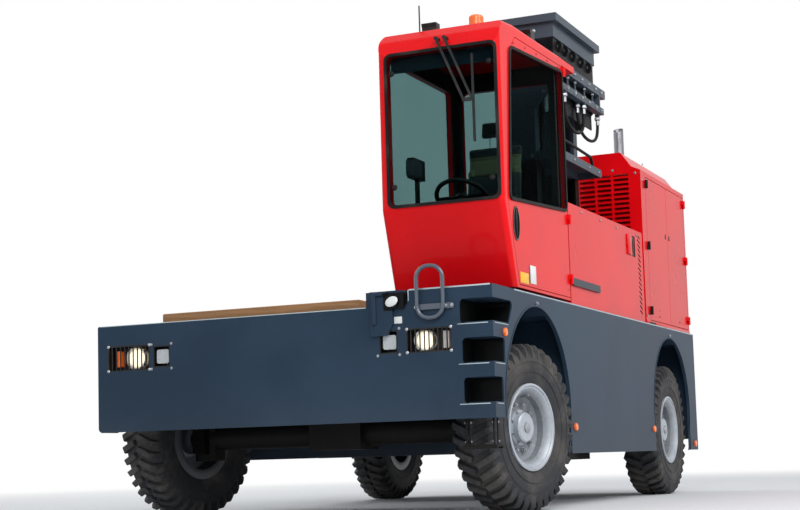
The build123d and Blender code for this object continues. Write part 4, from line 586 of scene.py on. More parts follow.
def finish_rows(colours):
    """Each finish's name, its slot, the frame's nodes that wear it, and its material."""
    red = tuple(colours.body)
    chassis = tuple(colours.chassis)
    mast = tuple(colours.mast)
    body_look = (0.28, 0.15, 0.15, 1.9, 0.05)
    chassis_look = (0.42, 0.03, 0.22, 1.0, 0.1)
    mast_look = (0.45, 0.1, 0.1, 1.5, 0.1)
    cloth = (tone(26, 27, 30), tone(58, 62, 68))
    lit = [(lamp["x"], LAMP_Z, lamp["r"]) for lamp in HEADLAMPS]
    rows = [
        ("red", "red_paint", ["cab_roof", "hood_shell", "hood_door_front", "hood_door_rear"],
         painted("body_red", red, *body_look, [(hood_latches, BLACK)])),
        # The cab's inner faces and the cup behind the grip are darkened as painted shade
        ("cab_red", "red_paint", ["cab_frame", "cab_door"],
         painted("cab_red", red, *body_look, [(cab_inside_shade, tone(30, 32, 35)), (grip_recess_shade, SHADE_BLACK)])),
        # The panel's slots and latch pocket are painted shade; the rubbing bar is its own dark colour
        ("panel_red", "red_paint", ["side_panel"],
         painted("panel_red", red, *body_look, [(panel_slot_shade, SHADE_BLACK), (rubbing_bar, tone(44, 50, 60))])),
        ("chassis", "chassis_paint", ["chassis_frame", "front_plate", "side_skirts", "rear_plate"],
         painted("chassis_blue_grey", chassis, *chassis_look)),
        # The step recesses are painted near black as shade
        ("corner", "chassis_paint", ["corner_steps"],
         painted("corner_blue_grey", chassis, *chassis_look, [(step_recess_shade, tone(8, 9, 11))])),
        ("deck", "chassis_paint", ["load_decks"],
         worn_paint("platform_paint", chassis, tone(104, 108, 112), 0.62)),
        # Low, recessed and shadowed parts of both masts are painted near black as shade
        ("mast", "mast_paint", ["mast_outer"], painted("mast_grey", mast, *mast_look, [(mast_shade, SHADE_BLACK)])),
        ("inner_mast", "mast_paint", ["mast_inner"],
         painted("inner_mast_grey", mast, *mast_look, [(head_shade, SHADE_BLACK)])),
        ("rail", "mast_paint", ["mast_rails", "fork_carriage"],
         worn_paint("rail_steel", tone(40, 44, 50), tone(130, 128, 124))),
        ("axle", "black_paint", ["hanging_step", "front_axle", "rear_axle", "knuckle_left", "knuckle_right"],
         painted("axle_black", tone(11, 12, 13), 0.5, 0.0, 0.14, 1.1, 0.15)),
        ("tyre", "tyre", ["tyre_" + wheel["name"] for wheel in WHEELS],
         tyre_rubber("tyre_rubber", tuple(colours.tyre))),
        ("timber", "wood", ["deck_timbers"], timber("sawn_timber", tuple(colours.timber))),
        ("glass", "glass", ["cab_glass", "door_glass"], glazing("tinted_glass", tuple(colours.glass))),
        ("lamp_glass", "lens", ["lamp_lenses"],
         lamp_lens("lamp_glass", tone(216, 222, 224), tone(255, 236, 196), lit)),
        ("signals", "amber", ["signal_lamps"],
         signal_glass("signal_lenses", tone(240, 104, 8), tone(168, 10, 12))),
        ("black", "black_plastic", ["headlamp_housings", "cab_controls", "roof_fittings"],
         moulded("black_plastic", tone(18, 19, 21), 0.42, 0.35)),
        ("grey", "black_plastic", [], moulded("grey_plastic", tone(62, 66, 72), 0.5)),
        ("rubber", "rubber", ["mast_hoses"], moulded("black_rubber", tone(10, 11, 12), 0.6, 0.2)),
        ("white", "black_plastic", [], moulded("white_plate", tone(226, 228, 226), 0.4)),
        ("yellow", "black_plastic", [], moulded("yellow_plate", tone(244, 186, 22), 0.4)),
        ("steel", "steel", [], bare_metal("zinc_steel", tone(176, 178, 182), 0.34)),
        # Bright bare-metal strips laid on edges and step lips as painted highlights
        ("edge", "steel", [], bare_metal("painted_edge_highlight", tone(184, 198, 204), 0.5)),
        ("grab", "chassis_paint", ["grab_rail"],
         painted("grab_rail_paint", tone(74, 84, 98), 0.24, 0.5, 0.1, 1.1, 0.08, specular=0.5)),
        ("bracket", "chassis_paint", ["mirror_bracket"],
         painted("bracket_blue_grey", chassis, 0.4, 0.05, 0.15, 1.0, 0.1, [(mirror_foot, BLACK)])),
        ("exhaust", "steel", ["exhaust_stack"],
         bare_metal("exhaust_steel", tone(138, 139, 144), 0.38, (0.1, 0.1, 1.0), 0.6)),
        ("chrome", "chrome", ["lift_rods"], bare_metal("plated_rod", tone(176, 178, 182), 0.14, stain=0.1)),
        ("cast", "cast", ["engine_block"], worn_paint("engine_grey", tone(62, 64, 66), tone(96, 84, 74))),
        ("cloth", "fabric", ["seat"], woven("seat_cloth", *cloth)),
        ("seat_back", "fabric", [], woven("seat_back_cloth", *cloth, (2.405, 2.545), tone(136, 132, 96))),
        ("blind", "fabric", [], woven("sun_blind", tone(26, 40, 52), tone(44, 62, 76))),
    ]
    for wheel in WHEELS:
        paint = rim_paint("rim_silver_" + wheel["name"], tuple(colours.rim), wheel)
        rows.append(("rim_" + wheel["name"], "rim_paint", ["rim_" + wheel["name"]], paint))
    return rows


# Shapes

def axes_to(direction, at):
    """A matrix that takes +Z to direction and the origin to at."""
    turn = Vector(direction).to_track_quat("Z", "Y").to_matrix().to_4x4()
    return Matrix.Translation(Vector(at)) @ turn


def wheel_frame(wheel):
    """Places a wheel's own axes, +X outward, on its spin joint."""
    joint = JOINTS["spin_" + wheel["name"]]
    outward = Vector(joint["axis"]) * wheel["side"]
    across = Vector(UP).cross(outward).normalized()
    turn = Matrix((outward, across, UP)).transposed().to_4x4()
    return Matrix.Translation(Vector(joint["pos_m"])) @ turn


def row(first, step, count):
    """Evenly spaced places."""
    return [first + index * step for index in range(count)]


def grid(*axes):
    """Every spot whose places along X, Y and Z are among those given, each a number or a list."""
    xs, ys, zs = [axis if isinstance(axis, (list, tuple)) else [axis] for axis in axes]
    return [(x, y, z) for x in xs for y in ys for z in zs]


def lamp_corners(x, wide, high):
    """The corners of a front lamp's plate, by its half width and half height."""
    return grid((x - wide, x + wide), FRONT_Y, (LAMP_Z - high, LAMP_Z + high))


def pane(place, low, high):
    """The corners, in order, of an upright pane: across X or Y by which of the two places is given."""
    x, y = place
    turns = [(low[0], low[1]), (high[0], low[1]), (high[0], high[1]), (low[0], high[1])]
    return [(x, u, z) if y is None else (u, y, z) for u, z in turns]


def round_circle(radius, count, first=0.0):
    """Pairs of places, evenly spaced round a circle; first is in steps."""
    angles = [math.tau * (index + first) / count for index in range(count)]
    return [(radius * math.cos(angle), radius * math.sin(angle)) for angle in angles]


def chain_links():
    """Each lift chain link's x, z and lean: up the front run, over the sheave, down the back run."""
    links = []
    for x, end in ((SHEAVE_X - SHEAVE_R, CHAIN_FOOT_Z), (SHEAVE_X + SHEAVE_R, CHAIN_ANCHOR_Z)):
        for z in row(SHEAVE_Z - 0.5 * LINK_PITCH, -LINK_PITCH, int((SHEAVE_Z - end) / LINK_PITCH)):
            links.append((x, z, 0.0))
    turns = round(math.pi * SHEAVE_R / LINK_PITCH)
    for angle in row(0.5 * math.pi / turns, math.pi / turns, turns):
        links.append((SHEAVE_X - SHEAVE_R * math.cos(angle), SHEAVE_Z + SHEAVE_R * math.sin(angle), angle))
    return links


def placed(name, data):
    """A new object in the scene, at the origin."""
    made = bpy.data.objects.new(name, data)
    bpy.context.scene.collection.objects.link(made)
    return made


def thicken(part, face, width, rise):
    """Keeps a band of width inside a face's edge, and gives it the thickness rise."""
    bmesh.ops.inset_region(part, faces=[face], thickness=width, use_even_offset=True, use_boundary=True)
    inner = max(part.faces, key=lambda each: len(each.verts))
    bmesh.ops.delete(part, geom=[inner], context="FACES_ONLY")
    grown = bmesh.ops.extrude_face_region(part, geom=part.faces[:], use_keep_orig=True)
    moved = [v for v in grown["geom"] if isinstance(v, bmesh.types.BMVert)]
    bmesh.ops.translate(part, verts=moved, vec=rise)
    bmesh.ops.recalc_face_normals(part, faces=part.faces)


class Shape:
    """Gathers shapes made by bmesh operators, and makes one finished piece of them."""

    def __init__(self):
        self.mesh = bmesh.new()

    def add(self, part, matrix=None):
        """Takes over the shape in part, placed by matrix."""
        if matrix is not None:
            bmesh.ops.transform(part, matrix=matrix, verts=part.verts)
        holder = bpy.data.meshes.new("holder")
        part.to_mesh(holder)
        part.free()
        self.mesh.from_mesh(holder)
        bpy.data.meshes.remove(holder)
        return self

    def box(self, low, high, bevel=0.0, matrix=None, segments=2):
        part = bmesh.new()
        size = Vector(high) - Vector(low)
        middle = (Vector(high) + Vector(low)) / 2
        place = Matrix.Translation(middle) @ Matrix.Diagonal((*size, 1.0))
        bmesh.ops.create_cube(part, size=1.0, matrix=place)
        if bevel:
            bmesh.ops.bevel(part, geom=part.edges[:], offset=bevel, segments=segments, affect="EDGES",
                            profile=0.5, material=-1, clamp_overlap=True)
        return self.add(part, matrix)

    def rod(self, start, end, radius, sides=16, bevel=0.0):
        """A round or many-sided bar from start to end."""
        part = bmesh.new()
        run = Vector(end) - Vector(start)
        bmesh.ops.create_cone(part, cap_ends=True, segments=sides, radius1=radius, radius2=radius,
                              depth=run.length, matrix=Matrix.Translation((0, 0, run.length / 2)))
        if bevel:
            rims = [e for e in part.edges if abs(e.verts[0].co.z - e.verts[1].co.z) < 1e-6]
            bmesh.ops.bevel(part, geom=rims, offset=bevel, segments=2, affect="EDGES", profile=0.5,
                            material=-1)
        return self.add(part, axes_to(run, start))

    def bolts(self, spots, direction, radius, height):
        """A washer and a hexagon head at each spot."""
        ahead = Vector(direction).normalized()
        for spot in spots:
            at = Vector(spot)
            self.rod(at, at + ahead * height * 0.22, radius * 1.35, 18)
            self.rod(at + ahead * height * 0.2, at + ahead * height, radius, 6, min(radius, height) * 0.12)
        return self

    def cap(self, matrix, half_u, half_v, height, segments, rings):
        """The upper half of a ball, stretched and placed by matrix."""
        part = bmesh.new()
        bmesh.ops.create_uvsphere(part, u_segments=segments, v_segments=rings, radius=1.0)
        bmesh.ops.bisect_plane(part, geom=part.verts[:] + part.edges[:] + part.faces[:], plane_co=(0, 0, 0),
                               plane_no=UP, clear_inner=True)
        bmesh.ops.holes_fill(part, edges=[e for e in part.edges if e.is_boundary])
        bmesh.ops.scale(part, vec=(half_u, half_v, height), verts=part.verts)
        return self.add(part, matrix)

    def domes(self, spots, direction, radius, height, segments=24):
        """A shallow dome on its plane at each spot."""
        for spot in spots:
            self.cap(axes_to(direction, spot), radius, radius, height, segments, 12)
        return self

    def spun(self, profile, axis_at, axis, steps=64, closed=False):
        """A profile of (along, out) points turned about an axis."""
        part = bmesh.new()
        spots = [part.verts.new((out, 0.0, along)) for along, out in profile]
        pairs = list(zip(spots, spots[1:])) + ([(spots[-1], spots[0])] if closed else [])
        for pair in pairs:
            part.edges.new(pair)
        bmesh.ops.spin(part, geom=part.verts[:] + part.edges[:], cent=(0, 0, 0), axis=UP,
                       angle=math.tau, steps=steps, use_merge=True)
        bmesh.ops.remove_doubles(part, verts=part.verts, dist=1e-6)
        bmesh.ops.recalc_face_normals(part, faces=part.faces)
        return self.add(part, axes_to(axis, axis_at))

    def gasket(self, corners, width, depth, rounding, outward, grow):
        """A band round a pane: corners in order, width inward, depth along outward."""
        part = bmesh.new()
        middle = sum((Vector(c) for c in corners), Vector()) / len(corners)
        spots = [Vector(c) + (Vector(c) - middle).normalized() * grow * 1.4 for c in corners]
        part.faces.new([part.verts.new(spot) for spot in spots])
        bmesh.ops.bevel(part, geom=part.verts[:], offset=rounding, segments=6, affect="VERTICES",
                        profile=0.5, material=-1)
        part.faces.ensure_lookup_table()
        thicken(part, part.faces[0], width, Vector(outward) * depth)
        return self.add(part)

    def arc_strip(self, arch, width, depth):
        """A bead on the truck's side that follows a wheel arch down to its foot."""
        radius = arch["r"]
        middle = Vector((HALF_W, arch["y"], arch["z"]))
        start = math.asin((ARCH_FOOT_Z - middle.z) / radius)
        part = bmesh.new()
        section = [(-0.001, radius), (depth, radius), (depth, radius + width), (-0.001, radius + width)]
        face = part.faces.new([part.verts.new(middle + Vector((out, away, 0))) for out, away in section])
        bmesh.ops.rotate(part, verts=part.verts, cent=middle, matrix=Matrix.Rotation(start, 3, "X"))
        bmesh.ops.spin(part, geom=[face], cent=middle, axis=LEFT, angle=math.pi - 2 * start, steps=72)
        bmesh.ops.recalc_face_normals(part, faces=part.faces)
        return self.add(part)

    def oval_plate(self, at, half_y, half_z):
        """A thin oval plate that faces +X."""
        part = bmesh.new()
        bmesh.ops.create_cone(part, cap_ends=True, segments=48, radius1=1.0, radius2=1.0, depth=0.002)
        stretch = Matrix.Diagonal((half_z, half_y, 1.0, 1.0))
        return self.add(part, Matrix.Translation(at) @ Matrix.Rotation(math.pi / 2, 4, "Y") @ stretch)

    def oval_ring(self, at, half_y, half_z, width, depth):
        """An oval band that faces +X."""
        part = bmesh.new()
        bmesh.ops.create_circle(part, cap_ends=True, segments=48, radius=1.0)
        bmesh.ops.transform(part, matrix=Matrix.Diagonal((half_z, half_y, 1.0, 1.0)), verts=part.verts)
        part.faces.ensure_lookup_table()
        thicken(part, part.faces[0], width, (0, 0, depth))
        return self.add(part, Matrix.Translation(at) @ Matrix.Rotation(math.pi / 2, 4, "Y"))

    def piece(self, name, finish, body="chassis", matrix=None, sharp=35.0):
        """Makes the object, placed by matrix, gives it its finish and lets it ride on its body."""
        if matrix is not None:
            bmesh.ops.transform(self.mesh, matrix=matrix, verts=self.mesh.verts)
        for face in self.mesh.faces:
            face.smooth = True
        for edge in self.mesh.edges:
            edge.smooth = len(edge.link_faces) != 2 or edge.calc_face_angle(0.0) < math.radians(sharp)
        data = bpy.data.meshes.new(name)
        self.mesh.to_mesh(data)
        self.mesh.free()
        data.materials.append(FINISHES[finish])
        made = placed(name, data)
        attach(made, body)
        return made


class TRUCK_OT_finishes(bpy.types.Operator):
    """Make the finishes and give each part of the frame its own"""
    bl_idname = "truck.finishes"
    bl_label = "Finishes"

    def execute(self, context):
        for finish, slot, nodes, material in finish_rows(context.scene.truck_colours):
            FINISHES[finish] = material
            for node in nodes:
                part = frame["nodes"][node]
                part.data.materials.clear()
                part.data.materials.append(material)
        return {"FINISHED"}


class TRUCK_OT_stage(bpy.types.Operator):
    """Make the floor, the soft studio light and the camera"""
    bl_idname = "truck.stage"
    bl_label = "Stage"

    def execute(self, context):
        scene = context.scene
        tint = tuple(scene.truck_colours.floor)
        concrete = Finish("studio_floor")
        along = concrete.axis(0)
        across = concrete.axis(1)
        distance = (along * along + across * across) ** 0.5
        base = concrete.blend(tint, dimmed(tint, 0.96), concrete.noise(3.0, 5.0))
        plain = concrete.node("ShaderNodeBsdfPrincipled", {}, {"Base Color": base, "Roughness": 0.85})
        glow = concrete.node("ShaderNodeEmission", {}, {"Color": WHITE, "Strength": 1.0})
        fade = concrete.rays("Is Camera Ray") * distance.ramp(6.0, 16.0)
        ground = bmesh.new()
        bmesh.ops.create_grid(ground, x_segments=1, y_segments=1, size=60.0)
        data = bpy.data.meshes.new("studio_floor")
        ground.to_mesh(data)
        ground.free()
        data.materials.append(concrete.close(concrete.mixed(fade, plain, glow)))
        placed("studio_floor", data)

        sky = Finish("studio_world", "worlds")
        seen = sky.rays("Is Camera Ray", "Is Glossy Ray", "Is Transmission Ray")
        white = sky.node("ShaderNodeBackground", {}, {"Color": WHITE, "Strength": 1.0})
        soft = sky.node("ShaderNodeBackground", {}, {"Color": (0.93, 0.96, 1.0, 1.0), "Strength": 0.55})
        scene.world = sky.close(sky.mixed(seen, soft, white), "ShaderNodeOutputWorld")

        lights = [
            ("key_light", (9.0, -4.0, 8.5), 7.0, 620.0),
            ("front_light", (5.5, -11.0, 8.0), 6.0, 520.0),
            ("back_light", (-7.0, 7.0, 8.0), 7.0, 300.0),
        ]
        for name, at, size, power in lights:
            lamp = bpy.data.lights.new(name, "AREA")
            lamp.shape = "DISK"
            lamp.size = size
            lamp.energy = power
            aim = Vector((0.3, -0.3, 1.2)) - Vector(at)
            turn = aim.to_track_quat("-Z", "Y").to_matrix().to_4x4()
            placed(name, lamp).matrix_world = Matrix.Translation(at) @ turn

        yaw, pitch, roll = 0.41486, 0.10133, -0.029306
        ahead = Vector((-math.sin(yaw) * math.cos(pitch), math.cos(yaw) * math.cos(pitch), math.sin(pitch)))
        level = Vector((math.cos(yaw), math.sin(yaw), 0.0))
        above = level.cross(ahead)
        right = level * math.cos(roll) + above * math.sin(roll)
        up = above * math.cos(roll) - level * math.sin(roll)
        camera = placed("camera", bpy.data.cameras.new("camera"))
        camera.data.sensor_width = 36.0
        camera.data.lens = 70.21
        camera.data.shift_y = 0.05525
        camera.data.clip_end = 200.0
        turn = Matrix((right, up, -ahead)).transposed().to_4x4()
        camera.matrix_world = Matrix.Translation((4.8596, -11.8304, 0.38305)) @ turn
        scene.camera = camera
        scene.view_settings.view_transform = "Standard"
        return {"FINISHED"}


class TRUCK_OT_hoses(bpy.types.Operator):
    """Hang the hydraulic hose loops from their fittings under the mast's hose frame"""
    bl_idname = "truck.hoses"
    bl_label = "Mast hoses"

    def execute(self, context):
        ends = Shape()
        for hose in HOSES:
            x = hose["x"]
            line = bpy.data.curves.new(hose["name"], "CURVE")
            line.dimensions = "3D"
            line.bevel_depth = HOSE_R
            line.bevel_resolution = 5
            line.use_fill_caps = True
            line.resolution_u = 10
            spline = line.splines.new("NURBS")
            spline.points.add(len(hose["route"]) - 1)
            for point, (y, down) in zip(spline.points, hose["route"]):
                point.co = (x, y + MAST_Y, FITTING_Z - down, 1.0)
            spline.order_u = 3
            spline.use_endpoint_u = True
            line.materials.append(FINISHES["rubber"])
            made = placed(hose["name"], line)
            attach(made, "mast_outer")
            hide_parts("mast_hoses")
            skin = HOSE_R + 0.0004
            for y in (hose["route"][0][0], hose["route"][-1][0]):
                ends.rod((x, y, FITTING_Z + 0.004), (x, y, FITTING_Z + 0.026), 0.0245, 6, 0.002)
                for low, high, radius in ((-0.040, -0.001, 0.0158), (-0.034, -0.029, 0.0168),
                                          (-0.020, -0.015, 0.0168)):
                    ends.spun([(low, skin), (low, radius), (high, radius), (high, skin)],
                              (x, y, FITTING_Z), UP, 24, closed=True)
        ends.piece("hose_ferrules", "steel", "mast_outer", FROM_MIDDLE)
        return {"FINISHED"}


class TRUCK_OT_tyres(bpy.types.Operator):
    """Make the tyres, with slanted tread bars over both shoulders"""
    bl_idname = "truck.tyres"
    bl_label = "Tyres"

    def execute(self, context):
        sizes = context.scene.truck_sizes
        half = 0.158
        crown = 0.5595
        rib = 0.1525
        bar_width = 0.042
        wall = [(-0.122, 0.281), (-0.131, 0.300), (-0.146, 0.340), (-0.154, 0.395), (-0.152, 0.455),
                (-0.142, 0.492), (-0.118, 0.520), (-0.060, 0.530), (0.0, 0.532)]
        outline = wall + [(-along, out) for along, out in reversed(wall[:-1])]
        tread = [(0.006, crown), (half - 0.034, crown), (half - 0.004, crown - 0.030), (half, crown - 0.085),
                 (half - 0.008, crown - 0.108), (half - 0.040, crown - 0.060), (0.006, crown - 0.034)]
        for wheel in WHEELS:
            shape = Shape().spun(outline, (0, 0, 0), LEFT, 96, closed=True)
            for band in (0.372, 0.440):
                for side in SIDES:
                    x = rib * side
                    top = x + 0.0035 * side
                    shape.spun([(x - 0.004, band - 0.005), (top, band - 0.002), (top, band + 0.002),
                                (x - 0.004, band + 0.005)], (0, 0, 0), LEFT, 96)
            for side in SIDES:
                bar = bmesh.new()
                face = bar.faces.new([bar.verts.new((side * x, -0.5, z)) for x, z in tread])
                grown = bmesh.ops.extrude_face_region(bar, geom=[face])
                moved = [v for v in grown["geom"] if isinstance(v, bmesh.types.BMVert)]
                bmesh.ops.translate(bar, verts=moved, vec=BACKWARD)
                bmesh.ops.scale(bar, vec=(1, bar_width, 1), verts=bar.verts)
                bmesh.ops.recalc_face_normals(bar, faces=bar.faces)
                bmesh.ops.bevel(bar, geom=bar.edges[:], offset=0.004, segments=1, affect="EDGES",
                                profile=0.5, material=-1, clamp_overlap=True)
                pivot = Matrix.Translation((side * half * 0.5, 0, 0))
                slant = pivot @ Matrix.Rotation(side * sizes.lug_slant, 4, "Z") @ pivot.inverted()
                bmesh.ops.transform(bar, matrix=slant, verts=bar.verts)
                step = math.tau / sizes.lug_count
                for turn in row(0.5 * step if side < 0 else 0.0, step, sizes.lug_count):
                    shape.add(bar.copy(), Matrix.Rotation(turn, 4, "X"))
                bar.free()
            made = shape.piece("tyre_dressed_" + wheel["name"], "tyre", "wheel_" + wheel["name"],
                               wheel_frame(wheel), 30.0)
            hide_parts("tyre_" + wheel["name"])
        return {"FINISHED"}


class TRUCK_OT_wheel_fastenings(bpy.types.Operator):
    """Add the wheel nuts, hub cap bolts and tyre valves"""
    bl_idname = "truck.wheel_fastenings"
    bl_label = "Wheel fastenings"

    def execute(self, context):
        sizes = context.scene.truck_sizes
        stud_circle = 0.160
        hub_circle = 0.110
        for wheel in WHEELS:
            shape = Shape()
            for y, z in round_circle(stud_circle, sizes.nut_count):
                shape.bolts([(0.026, y, z)], LEFT, sizes.wheel_nut, 0.026)
                shape.rod((0.026, y, z), (0.060, y, z), sizes.wheel_nut * 0.55, 10, 0.002)
            shape.bolts([(0.048, y, z) for y, z in round_circle(hub_circle, 8, 0.5)], LEFT, 0.0075, 0.012)
            shape.rod((0.097, 0, 0), (0.108, 0, 0), 0.034, 24, 0.003)
            shape.rod((0.060, 0.0, 0.205), (0.120, 0.0, 0.212), 0.006, 10, 0.001)
            shape.piece("wheel_nuts_" + wheel["name"], "steel", "wheel_" + wheel["name"], wheel_frame(wheel))
        return {"FINISHED"}


class TRUCK_OT_glass_trim(bpy.types.Operator):
    """Add the rubber gaskets round the panes and the windscreen's knobs"""
    bl_idname = "truck.glass_trim"
    bl_label = "Glass trim"

    def execute(self, context):
        width = context.scene.truck_sizes.gasket
        x0, x1, z0, z1 = 0.624, 1.428, 2.054, 3.102
        knobs = grid((x0 + 0.052, x1 - 0.052), CAB_FRONT_Y - 0.008, (z0 + 0.135, z1 - 0.135))
        front = pane((None, CAB_FRONT_Y - 0.010), (x0, z0), (x1, z1))
        trim = Shape().gasket(front, width, 0.012, 0.05, BACKWARD, 0.006).domes(knobs, FORWARD, 0.020, 0.012)
        trim.piece("windscreen_gasket", "rubber")
        inner = pane((CAB_X0 - 0.010, None), (-2.251, 2.064), (-1.079, 3.116))
        Shape().gasket(inner, width, 0.012, 0.05, LEFT, 0.006).piece("inner_pane_gasket", "rubber")
        rear = pane((None, CAB_REAR_Y + 0.010), (0.644, 2.184), (1.366, 3.116))
        Shape().gasket(rear, width, 0.012, 0.05, FORWARD, 0.006).piece("rear_pane_gasket", "rubber")
        door = [(CAB_X1 + 0.011, y, z)
                for y, z in ((-2.248, 2.056), (-2.149, 3.1125), (-1.014, 3.184), (-1.014, 2.134))]
        Shape().gasket(door, width, 0.013, 0.055, RIGHT, 0.004).piece("door_gasket", "rubber", "cab_door")
        return {"FINISHED"}


class TRUCK_OT_lamps(bpy.types.Operator):
    """Add the lamps' bezels and corner screws"""
    bl_idname = "truck.lamps"
    bl_label = "Lamps"

    def execute(self, context):
        bezels = Shape()
        screws = Shape()
        for lamp in HEADLAMPS:
            radius = lamp["r"]
            section = [(-0.004, radius - 0.006), (-0.006, radius + 0.004), (0.010, radius + 0.006),
                       (0.012, radius - 0.004)]
            bezels.spun(section, (lamp["x"], LAMP_BACK_Y - 0.0455, LAMP_Z), FORWARD, 40, closed=True)
            screws.domes(lamp_corners(lamp["middle"], lamp["half_w"] - 0.004, lamp["half_h"] - 0.004),
                         FORWARD, 0.012, 0.007)
        for lamp in SQUARE_LAMPS:
            screws.bolts(lamp_corners(lamp["x"], lamp["half_w"] + 0.012, lamp["half_h"] + 0.010),
                         FORWARD, 0.007, 0.006)
        bezels.piece("lamp_bezels", "chrome")
        screws.piece("lamp_screws", "steel")
        return {"FINISHED"}


class TRUCK_OT_chassis_trim(bpy.types.Operator):
    """Add the bolts over the wheel arches and beside the grab rail"""
    bl_idname = "truck.chassis_trim"
    bl_label = "Chassis trim"

    def execute(self, context):
        bolt = context.scene.truck_sizes.bolt
        over_arches = [(HALF_W, arch["y"], arch["z"] + arch["r"] + 0.022) for arch in ARCHES]
        heads = Shape().bolts(over_arches, LEFT, bolt, 0.012)
        heads.bolts(grid((0.96, 1.166, 1.21), FRONT_Y - 0.014, 1.334), FORWARD, bolt * 0.8, 0.010)
        heads.piece("chassis_bolts", "steel")
        return {"FINISHED"}


class TRUCK_OT_front_trim(bpy.types.Operator):
    """Add the bracket's reflector, bright strips along the edges as painted highlights, the arch lips and the
    hanging step's bolts
    """
    bl_idname = "truck.front_trim"
    bl_label = "Front trim"

    def execute(self, context):
        lean = Matrix.Rotation(math.radians(-22), 4, "Y") @ Matrix.Rotation(math.pi / 2, 4, "X")
        oval = Matrix.Translation((0.799, FRONT_Y - 0.034, 1.381)) @ lean
        plates = Shape().cap(oval, 0.045, 0.031, 0.007, 36, 16)
        plates.box((0.801, FRONT_Y - 0.0035, 1.240), (0.856, FRONT_Y + 0.001, 1.284), 0.0015)
        plates.piece("bracket_reflector", "white")
        # Painted highlights: thin bright strips along the platform's, deck's and step lips' edges, and bars
        # across the step treads
        edges = Shape()
        left, front, deck = HALF_W, FRONT_Y, CAB_DECK_Z
        proud = front - 0.0012
        top = PLATFORM_Z + 0.001
        edges.box((-left + 0.02, proud, PLATFORM_Z - 0.0045), (0.601, front + 0.006, top), 0.001)
        edges.box((0.906, proud, deck - 0.009), (left - 0.012, front + 0.006, deck + 0.001), 0.002)
        edges.box((0.8995, proud, deck - 0.075), (0.906, front + 0.004, deck - 0.004), 0.001)
        edges.box((left - 0.006, -2.30, deck - 0.009), (left + 0.0012, REAR_Y - 0.03, deck + 0.001), 0.002)
        for z, deep in STEP_LIPS:
            low, high = z - 0.0045, z + 0.0015
            edges.box((CORNER_X + 0.035, front - 0.0008, low), (left - 0.034, front + 0.009, high), 0.001)
            edges.box((left - 0.009, front + 0.034, low), (left + 0.0008, front + deep, high), 0.001)
            for y in row(front + 0.028, 0.016, 7):
                edges.box((CORNER_X + 0.045, y, z - 0.001), (left - 0.016, y + 0.004, z + 0.0025))
        edges.piece("painted_edge_highlights", "edge")
        lips = Shape()
        for arch in ARCHES:
            lips.arc_strip(arch, 0.009, 0.0035)
        lips.piece("arch_lips", "chassis")
        straps = Shape()
        for x in HANGER_XS:
            for side in SIDES:
                spots = grid(x + side * 0.017, FRONT_Y + 0.085, (0.470, 0.590))
                straps.bolts(spots, (side, 0, 0), 0.006, 0.006)
        straps.piece("hanger_bolts", "steel")
        return {"FINISHED"}


class TRUCK_OT_cab_trim(bpy.types.Operator):
    """Add the door's grip, bare plates, screws, the sun blind and the small controls"""
    bl_idname = "truck.cab_trim"
    bl_label = "Cab trim"

    def execute(self, context):
        door = CAB_X1

        def grip(lift):
            return (door + lift, GRIP_Y, GRIP_Z)
        cup = Shape().oval_ring(grip(0.0006), 0.064, 0.117, 0.009, 0.0035)
        cup.oval_plate(grip(-0.0265), 0.061, 0.114)
        cup.oval_ring(grip(-0.0270), 0.0618, 0.1148, 0.0020, 0.0285)
        cup.piece("grip_cup", "black", "cab_door")
        bar_y, lock_y = GRIP_Y + 0.008, GRIP_Y - 0.034
        bar = Shape().rod((door - 0.002, bar_y, 1.815), (door - 0.002, bar_y, 2.005), 0.0085, 14, 0.003)
        bar.rod((door - 0.020, lock_y, 1.900), (door - 0.006, lock_y, 1.900), 0.012, 18, 0.002)
        bar.piece("grip_bar", "black", "cab_door")
        Shape().oval_ring(grip(0.0012), 0.0575, 0.1105, 0.0022, 0.0035).piece("grip_rim", "steel", "cab_door")
        plates = [
            ("bare_yellow_plate", "yellow", (-2.080, 1.520), (-1.915, 1.592), 0.0020, 0.0012),
            ("bare_white_plate", "white", (-1.877, 1.531), (-1.761, 1.655), 0.0020, 0.0012),
            ("plate_side_strip", "grey", (-1.901, 1.531), (-1.881, 1.655), 0.0018, 0.001),
        ]
        for name, finish, low, high, proud, bevel in plates:
            plate = Shape().box((door - 0.001, *low), (door + proud, *high), bevel)
            plate.piece(name, finish, "cab_door")
        top = [(-2.055, 3.150), (-1.815, 3.172), (-1.575, 3.183), (-1.335, 3.190), (-1.095, 3.196)]
        screws = Shape().domes([(door, y, z) for y, z in top], LEFT, 0.0075, 0.004, 14)
        screws.domes(grid(door, (-1.935, -1.035), 1.56), LEFT, 0.006, 0.003, 14)
        screws.piece("door_screws", "black", "cab_door")
        rear = CAB_FRONT_Y + 0.050
        blind = Shape().box((0.645, rear, 2.985), (1.405, rear + 0.0035, 3.080), 0.001)
        blind.rod((0.640, rear + 0.006, 3.085), (1.410, rear + 0.006, 3.085), 0.011, 16)
        blind.rod((0.645, rear + 0.002, 2.985), (1.405, rear + 0.002, 2.985), 0.005, 12)
        blind.piece("sun_blind", "blind")
        Shape().box((0.640, -2.087, 2.315), (0.7005, -1.935, 2.425), 0.004).piece("display_hood", "grey")
        knobs = Shape()
        for y in row(-1.695, 0.085, 4):
            knobs.rod((0.690, y, 2.060), (0.690, y, 2.125), 0.005, 10)
            knobs.domes([(0.690, y, 2.122)], UP, 0.014, 0.020, 18)
        for x in (0.86, 0.97, 1.10):
            knobs.box((x, -2.050, 1.600), (x + 0.070, -2.038, 1.720), 0.004)
            knobs.rod((x + 0.035, -2.065, 1.529), (x + 0.035, -2.045, 1.610), 0.007, 10)
        knobs.box((0.640, -1.635, 2.0601), (0.735, -1.335, 2.0641), 0.0015)
        knobs.piece("small_controls", "grey")
        return {"FINISHED"}


